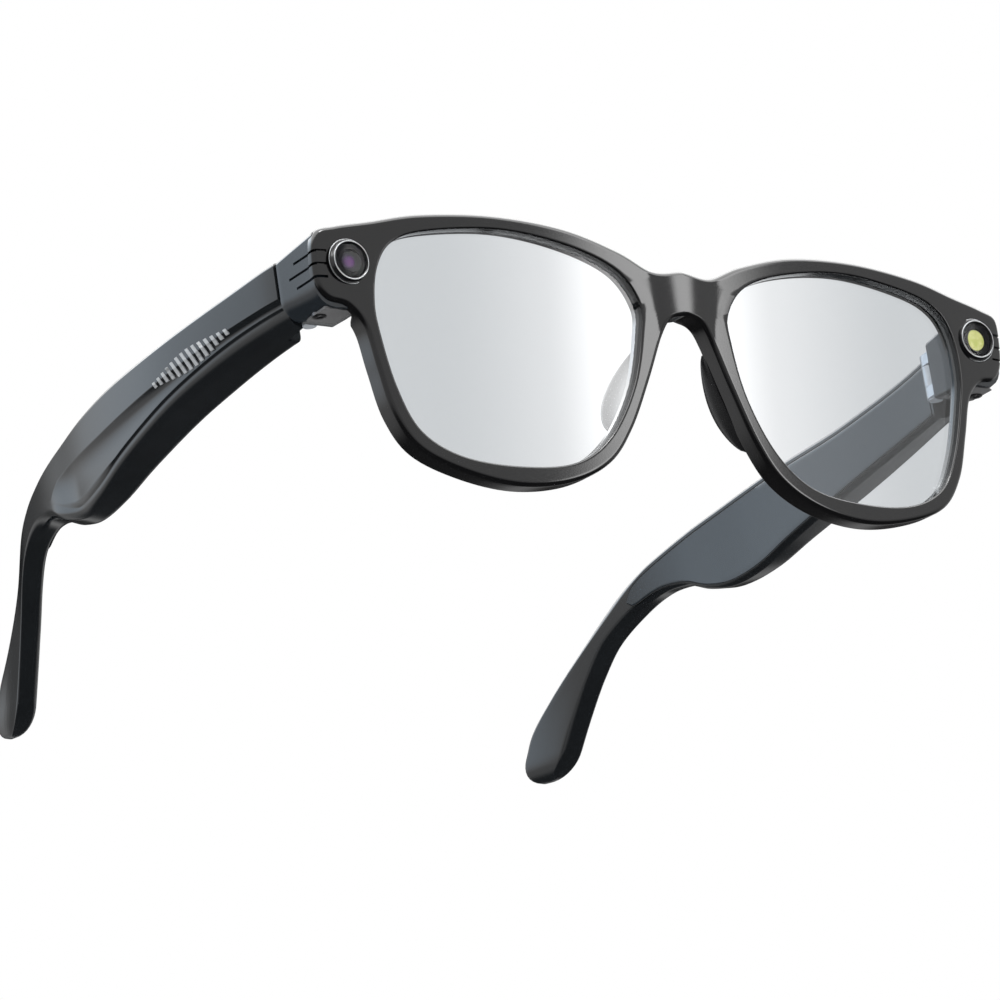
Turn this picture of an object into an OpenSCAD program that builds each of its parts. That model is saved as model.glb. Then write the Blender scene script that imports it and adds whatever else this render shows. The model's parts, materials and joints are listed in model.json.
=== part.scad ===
// Smart glasses with a front camera, a front light and a folding, sensing
// temple on each side.  Millimetres, Z up, the wearer looks along -Y.
// "right" and "left" are the wearer's own; right is at -X.

/* [Front] */
// Width of the front across both end pieces
front_width = 145; // [124:1:170]
// Height of the front from the brow to the bottom of the rims
front_height = 48; // [42:0.5:56]
// Radius of the bend of the front seen from above
wrap_radius = 510; // [250:10:900]
// Tilt of the front, bottom edge backwards
front_tilt = 7; // [3:0.5:10]
// Depth of the rims from front to back
rim_depth = 4; // [3.4:0.1:4.8]
// Thickness of the thin front wall over the end blocks
end_wall = 1.8; // [1.5:0.1:2.1]
// Thickness of each lens
lens_thickness = 1.6; // [1.2:0.1:1.9]
// How deep the lens edge sits in the rim groove
lens_bite = 0.6; // [0.4:0.1:0.9]
// How far the nose pads stand back behind the rims
pad_depth = 5; // [4:0.5:6]
// How far the bridge bulges forward between the rims
bridge_bulge = 0.4; // [0.2:0.1:0.8]

/* [Temples] */
// Length of a temple from the seam behind the end block to the tip
temple_length = 135; // [113:1:162]
// Thickness of a temple where it is thickest
temple_thickness = 9; // [8.6:0.1:11]
// Slant of the underside of a temple, lower towards the head
bottom_slant = 9; // [4:1:12]
// Thickness of the outer wall of the temple shell
outer_wall = 1.6; // [1.2:0.1:1.9]
// Thickness of the top and bottom walls of the temple shell
edge_wall = 1.5; // [1.2:0.1:1.8]
// Thickness of the inner cover of a temple
cover_thickness = 1.2; // [0.9:0.1:1.4]
// Gap at the seam between an end block and its temple
seam_gap = 0.3; // [0.2:0.05:0.5]
// Depth of the long recess along the outer face of a temple
recess_depth = 0.8; // [0.4:0.1:1]
// Number of light bars beside the recess
bar_count = 14; // [8:1:16]

/* [Hinges] */
// Diameter of the hinge pins
pin_diameter = 1.4; // [1.1:0.1:1.7]
// Outside diameter of the hinge knuckles
knuckle_diameter = 3.2; // [2.6:0.1:3.6]
// Radial play between a pin and the knuckle that turns on it
pin_play = 0.04; // [0.02:0.01:0.08]
// Thickness of the hinge leaves
leaf_thickness = 1.2; // [0.9:0.1:1.4]

/* [Camera and light] */
// Outside diameter of the ring round the camera and the light
ring_diameter = 8; // [6.6:0.1:8.4]
// How far the ring stands proud of the front
ring_height = 1; // [0.6:0.1:1.6]
// Diameter of the cover glass
glass_diameter = 5.6; // [4.6:0.1:6.2]

/* [Buttons] */
// Length of the button on top of each temple
button_length = 7; // [5.5:0.5:7]
// Width of the button across the temple
button_width = 2.6; // [2.2:0.1:3]
// How far a button stands out of the temple
button_height = 0.6; // [0.5:0.1:0.8]
// Travel of a button
button_travel = 0.5; // [0.3:0.05:0.5]

/* [Hidden] */
$fn = 64;
kx = front_width / 145;
kz = front_height / 48;
ky = temple_length / 135;
eye = 26.5 * kz * cos(front_tilt) - 1.27 * sin(front_tilt);
seam_y = 14.5;
mid_y = (seam_y + 133.182 * ky - 2.225) / 2;
hinge_x = 66 * kx;
hinge_y = seam_y + 3;
ring_x = 66 * kx;
ring_z = 10.8;
// The barrel behind the glass, the inner side of the end block beside it, and
// how far back the bent front lies at the rings
barrel_diameter = glass_diameter - 2.2;
block_inner = ring_x - barrel_diameter / 2 - 1.1;
bend_y = wrap_radius - sqrt(wrap_radius * wrap_radius - ring_x * ring_x);
cover_y = bend_y + end_wall - 0.488;
e = 0.02;
big = 400;
screw_spot = [69.2 * kx, 9.4, 0];

// Smooth closed and open curves through a few points
function cr(a, b, c, d, t) = 0.5 * (2 * b + (c - a) * t
    + (2 * a - 5 * b + 4 * c - d) * t * t
    + (3 * b - a - 3 * c + d) * t * t * t);
function loop(p, n) = let (m = len(p)) [for (i = [0 : m - 1], j = [0 : n - 1])
    cr(p[(i + m - 1) % m], p[i], p[(i + 1) % m], p[(i + 2) % m], j / n)];
function path(p, n) = let (m = len(p)) concat([for (i = [0 : m - 2], j = [0 : n - 1])
    cr(i == 0 ? 2 * p[0] - p[1] : p[i - 1], p[i], p[i + 1],
       i == m - 2 ? 2 * p[m - 1] - p[m - 2] : p[i + 2], j / n)], [p[m - 1]]);
function sized(p) = [for (q = p) [q[0] * kx, q[1] * kz]];
function flip(p) = [for (i = [len(p) - 1 : -1 : 0]) [-p[i][0], p[i][1]]];
function back(p) = [for (i = [len(p) - 1 : -1 : 0]) p[i]];
// Move a closed outline outwards by d (points run clockwise seen from the front)
function swell(p, d) = let (m = len(p)) [for (i = [0 : m - 1])
    let (t = p[(i + 1) % m] - p[(i + m - 1) % m], u = t / norm(t)) p[i] + d * [-u[1], u[0]]];

// Outer edge of the front, wearer's left half, from the brow round to the bridge
half_front = [[0, 15], [6, 14.5], [13, 17.5], [24, 20.5], [38, 21.5], [52, 20.5],
    [61.5, 18.5], [68, 17.2], [71.8, 15.8], [72.5, 11], [72, 6.5], [70, 4], [66.5, 3],
    [63.5, -0.5], [61.5, -7.5], [59, -15.5], [54.5, -21.5], [46, -25], [36, -26.5],
    [26, -25], [18, -21], [13, -14.5], [8.5, -5.5], [5, 3], [3, 6], [0, 7]];
half_edge = path(sized(half_front), 4);
front_edge = concat(half_edge,
    [for (i = [1 : len(half_edge) - 2]) flip(half_edge)[i]]);
// Opening of the left rim
lens_points = [[37, 19], [51, 17.5], [57.5, 15], [60.5, 10.5], [61.5, 4.5], [61, -1],
    [58.5, -11], [54.5, -18.5], [47, -22.5], [36, -23.5], [25, -22], [17.5, -16.5],
    [12, -7], [9.5, 3], [9.5, 8.5], [14, 14], [24, 17.5]];
lens_edge = loop(sized(lens_points), 4);

// Side outline of a temple as [y, z], top edge from the seam to the tip
top_points = [[13.3, 15.5], [30, 14.8], [50, 14.8], [68, 15.5], [85, 15.2], [100, 14],
    [111, 11.9], [119, 8.6], [128, 1.8], [138, -5.3], [144.4, -10], [147.5, -14.1],
    [147, -17.2], [144.2, -19.1], [139.6, -18.8]];
low_points = [[139.6, -18.8], [135, -15.4], [131.5, -10.2], [127, -4], [122, 1.4], [115, 5],
    [108, 6.2], [101, 5], [95, 2], [88, 0], [79, 0], [68, 1.7], [50, 3.5], [30, 4.3],
    [13.3, 4.3]];
// Outline well below the underside, which is cut by a slanted shape instead
deep_points = [[139.6, -18.8], [135, -18.4], [128, -14], [120, -8], [108, -4], [80, -8], [13.3, -6]];
// Plan of the outer face as [y, x] and thickness as [y, share of the thickest]
plan_points = [[13.3, 73.4], [20, 74.7], [35, 76.5], [50, 77.2], [65, 76.5], [80, 75],
    [92, 73.2], [104, 71.1], [116, 68.1], [128, 63.8], [140, 60.9], [152, 59.4]];
thick_points = [[13.3, 0.93], [20, 0.96], [35, 0.99], [50, 1], [65, 0.93], [80, 0.8],
    [92, 0.7], [104, 0.6], [116, 0.53], [128, 0.49], [140, 0.47], [152, 0.46]];
function along(y) = y <= seam_y ? y : seam_y + (y - seam_y) * ky;
function side(p) = [for (q = p) [along(q[0]), q[1] * kz]];
outer_line = [for (q = path(plan_points, 5)) [q[1] * kx, along(q[0])]];
thick_line = [for (q = path(thick_points, 5)) q[1] * temple_thickness];
function line_at(d) = [for (i = [0 : len(outer_line) - 1])
    [outer_line[i][0] - d, outer_line[i][1]]];
function inner_at(d) = [for (i = [0 : len(outer_line) - 1])
    [outer_line[i][0] - thick_line[i] + d, outer_line[i][1]]];
top_line = path(side(top_points), 4);
low_line = path(side(low_points), 4);
deep_line = side(deep_points);
function drop(p, d) = [for (q = p) [q[0], q[1] + d]];
function hit(p, y, i = 1) = i >= len(p) - 1 || p[i][1] >= y
    ? p[i - 1][0] + (p[i][0] - p[i - 1][0]) * (y - p[i - 1][1]) / (p[i][1] - p[i - 1][1])
    : hit(p, y, i + 1);
function rise(p, y, i = 1) = i >= len(p) - 1 || p[i][0] >= y
    ? p[i - 1][1] + (p[i][1] - p[i - 1][1]) * (y - p[i - 1][0]) / (p[i][0] - p[i - 1][0])
    : rise(p, y, i + 1);
function outer_x(y) = hit(outer_line, y);
function inner_x(y) = hit(inner_at(0), y);
function top_z(y) = eye + rise(top_line, y);
function low_z(y) = eye + rise(back(low_line), y);
slant_line = [for (q = low_line) [q[0], q[1] + (77 * kx - outer_x(q[0])) * tan(bottom_slant)]];

// Heights of the hinge knuckles
knuckle_low = eye + 6 * kz;
knuckle_high = eye + 14.4 * kz;
knuckle_step = 2.1 * kz;
// Bay inside each temple
bay_start = 21.5;
bay_end = along(101);
cover_start = 20.3;

// Positions of the things inside the temples
board_y = 32;
board_long = 22 * ky;
button_y = 26.6;
speaker_y = along(62);
battery_y = along(69.5);
battery_long = 28 * ky;

// ---- shared shapes ----------------------------------------------------

// Put the finished part over the middle of its footprint
module place() translate([0, -mid_y, 0]) children();

// Turn a shape drawn in the plane of the front into place
module tilted() translate([0, 0, eye]) rotate([front_tilt, 0, 0]) children();
// Extrude an x-z outline through the front
module through(p) rotate([90, 0, 0]) translate([0, 0, -60]) linear_extrude(120) polygon(p);
// Bent layer between two depths behind the front surface
module layer(a, b) translate([0, wrap_radius, -100]) difference() {
    cylinder(r = wrap_radius - a, h = 200, $fn = 400);
    translate([0, 0, -1]) cylinder(r = wrap_radius - b, h = 202, $fn = 400);
}
// Block limited to the near side of the bend
module near() translate([-130, -30, -90]) cube([260, 90, 180]);
module bent(a, b) intersection() { layer(a, b); near(); }
// Everything behind a given depth
module behind(a) translate([0, wrap_radius, -100]) cylinder(r = wrap_radius - a, h = 200, $fn = 400);

// Side outline of the temple pulled in by d at top and bottom, given as y-z
module side_shape(p) rotate([90, 0, 90]) translate([0, 0, -10]) linear_extrude(140) polygon(p);
module plan_shape(a, b) translate([0, 0, -60]) linear_extrude(160) polygon(concat(a, back(b)));
module right() mirror([1, 0, 0]) children();

// Place a round part on the front at the camera or the light
module on_front(x) tilted() translate([x, wrap_radius - sqrt(wrap_radius * wrap_radius - x * x), ring_z * kz])
    rotate([0, 0, asin(x / wrap_radius)]) rotate([-90, 0, 0]) children();

// ---- front ------------------------------------------------------------

module end_zone(s) tilted() translate([s > 0 ? block_inner : -block_inner - 40, -30, 1.5 * kz])
    cube([40, 90, 40]);

// Three grooves that run along the side of an end block and wrap onto the front
module side_grooves() for (z = [13, 10.7, 8.4]) translate([0, 0, eye + z * kz - 0.3]) {
    linear_extrude(0.6) polygon([[71.7 * kx, -3], [71.7 * kx, 3], [71.9 * kx, 5.5],
        [72.4 * kx, z == 10.7 ? 11.4 : 9.8], [90 * kx, z == 10.7 ? 11.4 : 9.8], [90 * kx, -3]]);
    intersection() {
        translate([70.3 * kx, -5, 0]) cube([9, 20, 0.6]);
        translate([0, 0, -eye - z * kz]) tilted() bent(-2, 0.35);
    }
}

bulge_half = 6.4 * kx;
bulge_round = (bulge_half * bulge_half + bridge_bulge * bridge_bulge) / (2 * bridge_bulge);
module bulge() intersection() {
    translate([0, bulge_round - bridge_bulge, -60]) cylinder(r = bulge_round, h = 120, $fn = 400);
    translate([-bulge_half, -5, -60]) cube([2 * bulge_half, 5.8, 120]);
}
module front_frame() color([0.2, 0.2, 0.21]) place() difference() {
    tilted() difference() {
        intersection() { union() { bent(0, rim_depth); bulge(); } through(front_edge); }
        through(lens_edge);
        through(flip(lens_edge));
        intersection() {
            bent(rim_depth / 2 - lens_thickness / 2, rim_depth / 2 + lens_thickness / 2);
            union() { through(swell(lens_edge, lens_bite)); through(flip(swell(lens_edge, lens_bite))); }
        }
        intersection() { bent(rim_depth - 1, rim_depth + 1); brow_strip(); }
    }
    for (s = [-1, 1]) intersection() { end_zone(s); tilted() bent(end_wall, rim_depth + 2); }
    for (s = [-1, 1]) on_front(s * ring_x) {
        translate([0, 0, -3]) cylinder(d = glass_diameter, h = 12);
        translate([0, 0, -3]) cylinder(d = ring_diameter, h = 3.3);
    }
    side_grooves();
    right() side_grooves();
}
// Narrow strip along the brow, between the outer edge and the rims
module brow_strip() intersection() {
    difference() { through(swell(front_edge, -0.7)); through(swell(front_edge, -1.9)); }
    translate([-60 * kx, -60, 13.3 * kz]) cube([120 * kx, 120, 12 * kz]);
}
module brow_cover() color([0.1, 0.1, 0.11]) place() tilted() intersection() {
    bent(rim_depth - 0.65, rim_depth); brow_strip();
}
module front_flex_cable() color([0.75, 0.45, 0.12]) place() tilted() intersection() {
    bent(rim_depth - 1, rim_depth - 0.65); brow_strip();
}
module one_lens() tilted() intersection() {
    bent(rim_depth / 2 - lens_thickness / 2, rim_depth / 2 + lens_thickness / 2);
    through(swell(lens_edge, lens_bite));
}
module lens_left() color([0.8, 0.86, 0.9, 0.4]) place() one_lens();
module lens_right() color([0.8, 0.86, 0.9, 0.4]) place() right() one_lens();

// Soft pad behind the nose side of a rim
pad_section = [[0.2, 0], [2.8, 0], [3.3, pad_depth * 0.5], [4.1, pad_depth - 0.4], [3.4, pad_depth + 0.3],
    [1.8, pad_depth], [0.3, pad_depth * 0.68], [-0.4, pad_depth * 0.36], [-0.1, 0.4]];
pad_half = 9.2 * kz;
pad_round = (pad_half * pad_half + pad_depth * pad_depth) / (2 * pad_depth);
module one_pad() tilted() intersection() {
    translate([5 * kx, rim_depth, 1.6 * kz]) rotate([0, 155, 0]) mirror([1, 0, 0]) intersection() {
        linear_extrude(19 * kz) polygon(pad_section);
        translate([-10, pad_depth - pad_round, 9.5 * kz]) rotate([0, 90, 0]) cylinder(r = pad_round, h = 30, $fn = 120);
    }
    behind(rim_depth);
}
module nose_pad_left() color([0.08, 0.08, 0.09]) place() one_pad();
module nose_pad_right() color([0.08, 0.08, 0.09]) place() right() one_pad();

// Camera stack, wearer's right
module bezel() difference() {
    union() {
        translate([0, 0, -0.3]) cylinder(d = ring_diameter, h = 0.6);
        translate([0, 0, -ring_height]) cylinder(d1 = ring_diameter - 1, d2 = ring_diameter, h = ring_height - 0.3);
    }
    translate([0, 0, -5]) cylinder(d = glass_diameter, h = 10);
}
module camera_bezel() color([0.12, 0.12, 0.13]) place() on_front(-ring_x) bezel();
module flash_bezel() color([0.12, 0.12, 0.13]) place() on_front(ring_x) bezel();
module camera_cover_glass() color([0.1, 0.1, 0.12, 0.5]) place() on_front(-ring_x)
    translate([0, 0, 0.25 - ring_height]) cylinder(d = glass_diameter, h = 0.6);
module camera_lens_element() color([0.4, 0.25, 0.5]) place() on_front(-ring_x)
    translate([0, 0, 0.85 - ring_height]) cylinder(d = 2.2, h = 0.7);
module camera_barrel() color([0.05, 0.05, 0.06]) place() on_front(-ring_x)
    translate([0, 0, 1.15 - ring_height]) difference() {
        cylinder(d = barrel_diameter, h = end_wall + 2.4);
        translate([0, 0, -1]) cylinder(d = 2.2, h = 1.4);
    }
module camera_board() color([0.05, 0.3, 0.15]) place() on_front(-ring_x)
    translate([-1.9, -1.8 * kz, 1.15 - ring_height + end_wall + 2.4]) cube([3.2, 3.6 * kz, 0.6]);
module flash_cover_glass() color([0.1, 0.1, 0.12, 0.5]) place() on_front(ring_x)
    translate([0, 0, 0.25 - ring_height]) cylinder(d = glass_diameter, h = 0.6);
module flash_led() color([0.85, 0.85, 0.5]) place() on_front(ring_x)
    translate([0, 0, 1.4 - ring_height]) cylinder(d = 3.2, h = 0.8);
module flash_board() color([0.05, 0.3, 0.15]) place() on_front(ring_x)
    translate([0, 0, 2.2 - ring_height]) union() {
        cylinder(d = barrel_diameter, h = end_wall + 0.9);
        translate([-1.3, -1.8 * kz, end_wall + 0.9]) cube([3.2, 3.6 * kz, 0.6]);
    }

// End block: hinge housing behind the front, its bay open downwards
block_top = path([[-1, 16.9], [4, 16.5], [9, 16], [14.5, 15.4]], 3);
block_low = [[14.5, 4.3], [10, 3.8], [5, 3.4], [-1, 3.4]];
module block_space() intersection() {
    translate([0, 0, eye]) side_shape([for (q = concat(block_top, block_low)) [q[0], q[1] * kz]]);
    translate([0, 0, -20]) linear_extrude(120) polygon([[block_inner, -2], [72 * kx, -2], [72.1 * kx, 3],
        [72.4 * kx, 6], [72.8 * kx, 9.5], [73.4 * kx, seam_y], [block_inner, seam_y]]);
    tilted() behind(end_wall);
}
module block_bay() intersection() {
    translate([block_inner + 0.35, 2, eye + 4.6 * kz])
        cube([ring_x + 5.4 * kx - block_inner - 0.35, 8.6, 7.5 * kz + barrel_diameter / 2]);
    tilted() behind(end_wall);
}
module cover_plate(d) translate([64.4 * kx - d, cover_y - d, eye - 5])
    cube([8.2 * kx + 2 * d, 12.4 - cover_y + 2 * d, 5 + 4.6 * kz]);
module leaf_slot(d) translate([64.4 * kx - d, 9.5 - d, knuckle_low - d])
    cube([leaf_thickness + 2 * d, seam_y - 9.5 + 0.6, knuckle_high - knuckle_low + 2 * d]);
module one_block() difference() {
    block_space();
    block_bay();
    cover_plate(0);
    leaf_slot(0);
    translate([0, 0, eye + 4.5 * kz]) translate([screw_spot[0], screw_spot[1], 0]) cylinder(d = 1.4, h = 3);
    side_grooves();
}
module screw_post() translate([screw_spot[0], screw_spot[1], eye + 4.6 * kz]) difference() {
    cylinder(d = 3, h = 9.5 * kz);
    translate([0, 0, -1]) cylinder(d = 1.4, h = 4);
}
module end_block_left() color([0.3, 0.32, 0.34]) place() union() { one_block(); screw_post(); }
module end_block_right() color([0.3, 0.32, 0.34]) place() right() union() { one_block(); screw_post(); }
module one_end_cover() difference() {
    intersection() { block_space(); cover_plate(0); }
    translate([screw_spot[0], screw_spot[1], eye]) cylinder(d = 1.5, h = 12);
    translate([screw_spot[0], screw_spot[1], eye + 3.1 * kz]) cylinder(d = 2.6, h = 0.9 * kz);
}
module end_cover_left() color([0.14, 0.14, 0.15]) place() one_end_cover();
module end_cover_right() color([0.14, 0.14, 0.15]) place() right() one_end_cover();
module one_screw() translate([screw_spot[0], screw_spot[1], 0]) difference() {
    union() {
        translate([0, 0, eye + 3.45 * kz]) cylinder(d = 2.5, h = 0.55 * kz);
        translate([0, 0, eye + 4 * kz]) cylinder(d = 1.4, h = 2.6);
    }
    translate([-0.8, -0.15, eye]) cube([1.6, 0.3, 3.75 * kz]);
    translate([-0.15, -0.8, eye]) cube([0.3, 1.6, 3.75 * kz]);
}
module end_cover_screws() color([0.45, 0.45, 0.47]) place() union() { one_screw(); right() one_screw(); }

// Hinge leaf on the end block, knuckles at the top and at the bottom
module knuckle(a, b) translate([hinge_x, hinge_y, a]) cylinder(d = knuckle_diameter, h = b - a);
module pin_bore(d) translate([hinge_x, hinge_y, knuckle_low - 2]) cylinder(d = d, h = knuckle_high - knuckle_low + 4);
module one_front_leaf() difference() {
    union() {
        leaf_slot(0);
        for (a = [knuckle_low, knuckle_high - knuckle_step]) {
            knuckle(a, a + knuckle_step);
            translate([64.4 * kx, 12, a]) cube([leaf_thickness, hinge_y - 12, knuckle_step]);
        }
    }
    pin_bore(pin_diameter);
    // room for the middle knuckle of the temple
    translate([hinge_x, hinge_y, knuckle_low + knuckle_step])
        cylinder(d = knuckle_diameter + 0.6, h = knuckle_high - knuckle_low - 2 * knuckle_step);
    translate([60 * kx, seam_y, knuckle_low + knuckle_step])
        cube([10, 10, knuckle_high - knuckle_low - 2 * knuckle_step]);
}
module front_hinge_leaf_left() color([0.6, 0.6, 0.62]) place() one_front_leaf();
module front_hinge_leaf_right() color([0.6, 0.6, 0.62]) place() right() one_front_leaf();
module one_pin() translate([hinge_x, hinge_y, knuckle_low - 0.3]) union() {
    cylinder(d = pin_diameter, h = knuckle_high - knuckle_low + 0.3);
    cylinder(d = knuckle_diameter - 0.6, h = 0.3);
}
module hinge_pin_left() color([0.7, 0.7, 0.72]) place() one_pin();
module hinge_pin_right() color([0.7, 0.7, 0.72]) place() right() one_pin();

// ---- temples ----------------------------------------------------------

module side_space(up, down) translate([0, 0, eye]) intersection() {
    side_shape(concat(drop(top_line, -up), deep_line));
    translate([77 * kx, 0, 0]) rotate([0, -bottom_slant, 0]) translate([-77 * kx, 0, 0])
        side_shape(concat([[along(152), -30 * kz], [along(160), 40], [0, 40]], [[0, 4.3 * kz + down]],
            back(drop(slant_line, down))));
}
module temple_body(a, b, up, down) intersection() {
    side_space(up, down);
    plan_shape(line_at(a), inner_at(b));
    translate([20, seam_y + seam_gap, -10]) cube([120, 300, 120]);
}
// Part of the temple between two stations
module between(a, b) translate([20, a, -20]) cube([120, b - a, 160]);
module hinge_notch() union() {
    translate([30, 0, -20]) cube([hinge_x + 3.4 - 30, hinge_y + 2.1, 160]);
}
// Long recess on the outer face
recess_top = [[13, 8.2], [30, 8], [52, 7.8], [75, 8.3], [90, 8.6]];
recess_end = [[95.5, 7.8], [97.5, 5.5], [94, 3]];
recess_low = [[86, 2], [74, 3], [62, 4.2], [45, 4.8], [28, 5.4], [13, 6.2]];
module recess() intersection() {
    translate([0, 0, eye]) side_shape(path(side(concat(recess_top, recess_end, recess_low)), 4));
    difference() { plan_shape(line_at(-2), line_at(recess_depth)); }
}
module bay() intersection() {
    temple_body(outer_wall, -0.5, edge_wall, edge_wall);
    between(bay_start, bay_end);
}
// The inner cover has a round rear end
module cover_zone() union() {
    between(cover_start, along(112));
    translate([20, along(112), eye + 7.3 * kz]) rotate([0, 90, 0]) cylinder(r = 4 * kz, h = 120);
}
module cover_seat(a) intersection() {
    side_space(0.8, 0.8);
    plan_shape(inner_at(cover_thickness), inner_at(a));
    cover_zone();
}
module button_hole(d) translate([outer_x(button_y) - 4.6 - button_width / 2 - d, button_y - button_length / 2 - d,
    top_z(button_y) - 2.5]) cube([button_width + 2 * d, button_length + 2 * d, 8]);
module bars(d) for (i = [0 : bar_count - 1]) let (
    y = along(51.4 - i * 22.6 / (bar_count - 1)),
    h = (0.45 + 1.6 * pow(sin(180 * (i + 0.9) / (bar_count + 0.8)), 2)) * kz)
    translate([30, y - 0.45 - d, eye + 7.9 * kz - h - d]) cube([80, 0.9 + 2 * d, 2 * h + 2 * d]);
module one_shell() difference() {
    temple_body(0, 0, 0, 0);
    hinge_notch();
    recess();
    bay();
    cover_seat(-1);
    leaf_pocket(0);
    mesh_slot();
    intersection() { bars(0); plan_shape(line_at(-2), line_at(recess_depth + 0.15)); }
}
// Room for the leaf of the temple hinge
leaf_x = inner_x(hinge_y + 11.5) + cover_thickness + 0.05;
module leaf_pocket(d) translate([60 * kx, hinge_y - 0.4, knuckle_low + knuckle_step + 0.1])
    cube([leaf_x + leaf_thickness - 60 * kx, 5.6, knuckle_high - knuckle_low - 2 * knuckle_step - 0.2]);
module mesh_slot() translate([outer_x(speaker_y) - 6, speaker_y - 5.5, top_z(speaker_y) - 3])
    cube([2.6, 11, 7]);
module sensor_port() translate([30, 34 - 0.35, eye + 9 * kz - 0.35]) cube([hinge_x + 8 - 30, 0.7, 0.7]);

module temple_shell_right() color([0.3, 0.33, 0.36]) place() right() difference() { one_shell(); button_hole(0.15); }
module temple_shell_left() color([0.3, 0.33, 0.36]) place() difference() { one_shell(); button_hole(0.15); }

module one_cover() difference() {
    cover_seat(0);
    sensor_port();
}
module temple_cover_left() color([0.33, 0.36, 0.39]) place() one_cover();
// The right cover carries a flat pad for the charging contacts
pad_y = along(52);
pad_x = inner_x(pad_y) - 0.7;
module charge_pad() intersection() {
    translate([pad_x, pad_y - 9, eye + 5.6 * kz]) cube([3, 18, 6 * kz]);
    plan_shape(line_at(3), inner_at(-3));
}
module contact(d) for (i = [-1, 1]) translate([pad_x - 1, pad_y + 4 * i - 1.4 - d, eye + 7.2 * kz - d])
    cube([1.5 + d, 2.8 + 2 * d, 2.8 * kz + 2 * d]);
module temple_cover_right() color([0.33, 0.36, 0.39]) place() right() difference() {
    union() {
        one_cover();
        difference() { charge_pad(); plan_shape(line_at(0), inner_at(cover_thickness)); }
    }
    contact(0);
}
module charging_contacts() color([0.8, 0.65, 0.3]) place() right() intersection() {
    contact(0); translate([pad_x, 0, 0]) cube([20, 200, 100]);
}

module one_temple_leaf() difference() {
    union() {
        knuckle(knuckle_low + knuckle_step + 0.1, knuckle_high - knuckle_step - 0.1);
        translate([hinge_x + 0.2, hinge_y - 0.2, knuckle_low + knuckle_step + 0.1])
            cube([leaf_x + leaf_thickness - hinge_x - 0.2, 2.2,
                knuckle_high - knuckle_low - 2 * knuckle_step - 0.2]);
        translate([leaf_x, hinge_y, knuckle_low + knuckle_step + 0.1])
            cube([leaf_thickness, 5.2, knuckle_high - knuckle_low - 2 * knuckle_step - 0.2]);
    }
    pin_bore(pin_diameter + 2 * pin_play);
}
module temple_hinge_leaf_left() color([0.6, 0.6, 0.62]) place() one_temple_leaf();
module temple_hinge_leaf_right() color([0.6, 0.6, 0.62]) place() right() one_temple_leaf();

// Things in the bays; x is measured from the inner side of the outer wall
function wall_x(a, b) = min(outer_x(a), outer_x(b)) - outer_wall - 0.5;
function seat_x(a, b) = max(inner_x(a), inner_x(b), inner_x((a + b) / 2)) + cover_thickness;
module one_sensor() intersection() {
    translate([0, 0, eye]) side_shape(side([[33, 12.3], [52, 12.3], [52, 6.2], [33, 6.2]]));
    plan_shape(line_at(outer_wall), line_at(outer_wall + 0.3));
}
module touch_sensor_left() color([0.8, 0.5, 0.15]) place() one_sensor();
module touch_sensor_right() color([0.8, 0.5, 0.15]) place() right() one_sensor();
module one_bars() intersection() {
    bars(0);
    plan_shape(line_at(0), line_at(recess_depth + 0.15));
    temple_body(0, 0, 0, 0);
}
module touch_bars_left() color([0.72, 0.73, 0.74]) place() one_bars();
module touch_bars_right() color([0.72, 0.73, 0.74]) place() right() one_bars();

board_x = seat_x(board_y, board_y + board_long) + 0.4;
board_z = eye + 5.9 * kz;
module one_board() union() {
    translate([board_x, board_y, board_z]) cube([0.8, board_long, 6.6 * kz]);
    for (i = [0 : 2]) translate([board_x + 0.8, board_y + 2 + i * 6.2 * ky, board_z + 0.6 * kz])
        cube([0.7, 3.6 * ky, 1.6 * kz]);
}
module main_board() color([0.05, 0.3, 0.15]) place() right() one_board();
module left_board() color([0.05, 0.3, 0.15]) place() one_board();
module board_shield() color([0.7, 0.7, 0.7]) place() right()
    translate([board_x + 0.8, board_y + 4 * ky, board_z + 2.6 * kz]) difference() {
        cube([1.6, 14 * ky, 3.6 * kz]);
        translate([-1, 0.3, 0.3]) cube([2.3, 14 * ky - 0.6, 3.6 * kz - 0.6]);
    }
module one_microphone() translate([board_x - 0.4, 34 - 1.2, eye + 9 * kz - 1.1]) difference() {
    cube([0.4, 2.4, 2.2]);
    translate([-0.1, 0.85, 0.75]) cube([0.3, 0.7, 0.7]);
}
module microphone_left() color([0.75, 0.7, 0.55]) place() one_microphone();
module microphone_right() color([0.75, 0.7, 0.55]) place() right() one_microphone();

speaker_x = outer_x(speaker_y) - 6;
module one_speaker() translate([speaker_x - 0.5, speaker_y - 6, top_z(speaker_y) - edge_wall - 0.7]) difference() {
    translate([0, 0, -5.2 * kz]) cube([3.6, 12, 5.2 * kz]);
    translate([0.7, 1.2, -0.5]) cube([2.2, 9.6, 1.5]);
}
module speaker_left() color([0.15, 0.15, 0.16]) place() one_speaker();
module speaker_right() color([0.15, 0.15, 0.16]) place() right() one_speaker();
module one_mesh() translate([speaker_x, speaker_y - 5.5, top_z(speaker_y) - 1.1]) difference() {
    cube([2.6, 11, 0.4]);
    for (i = [0 : 5]) translate([0.5, 0.9 + i * 1.65, -1]) cube([1.6, 0.9, 3]);
}
module speaker_mesh_left() color([0.4, 0.4, 0.42]) place() one_mesh();
module speaker_mesh_right() color([0.4, 0.4, 0.42]) place() right() one_mesh();

// A pouch cell bent to the temple
module one_battery() intersection() {
    temple_body(outer_wall + 0.4, cover_thickness + 0.3, edge_wall + 0.4, edge_wall + 0.4);
    between(battery_y, battery_y + battery_long);
}
module battery_left() color([0.75, 0.76, 0.78]) place() one_battery();
module battery_right() color([0.75, 0.76, 0.78]) place() right() one_battery();

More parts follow.
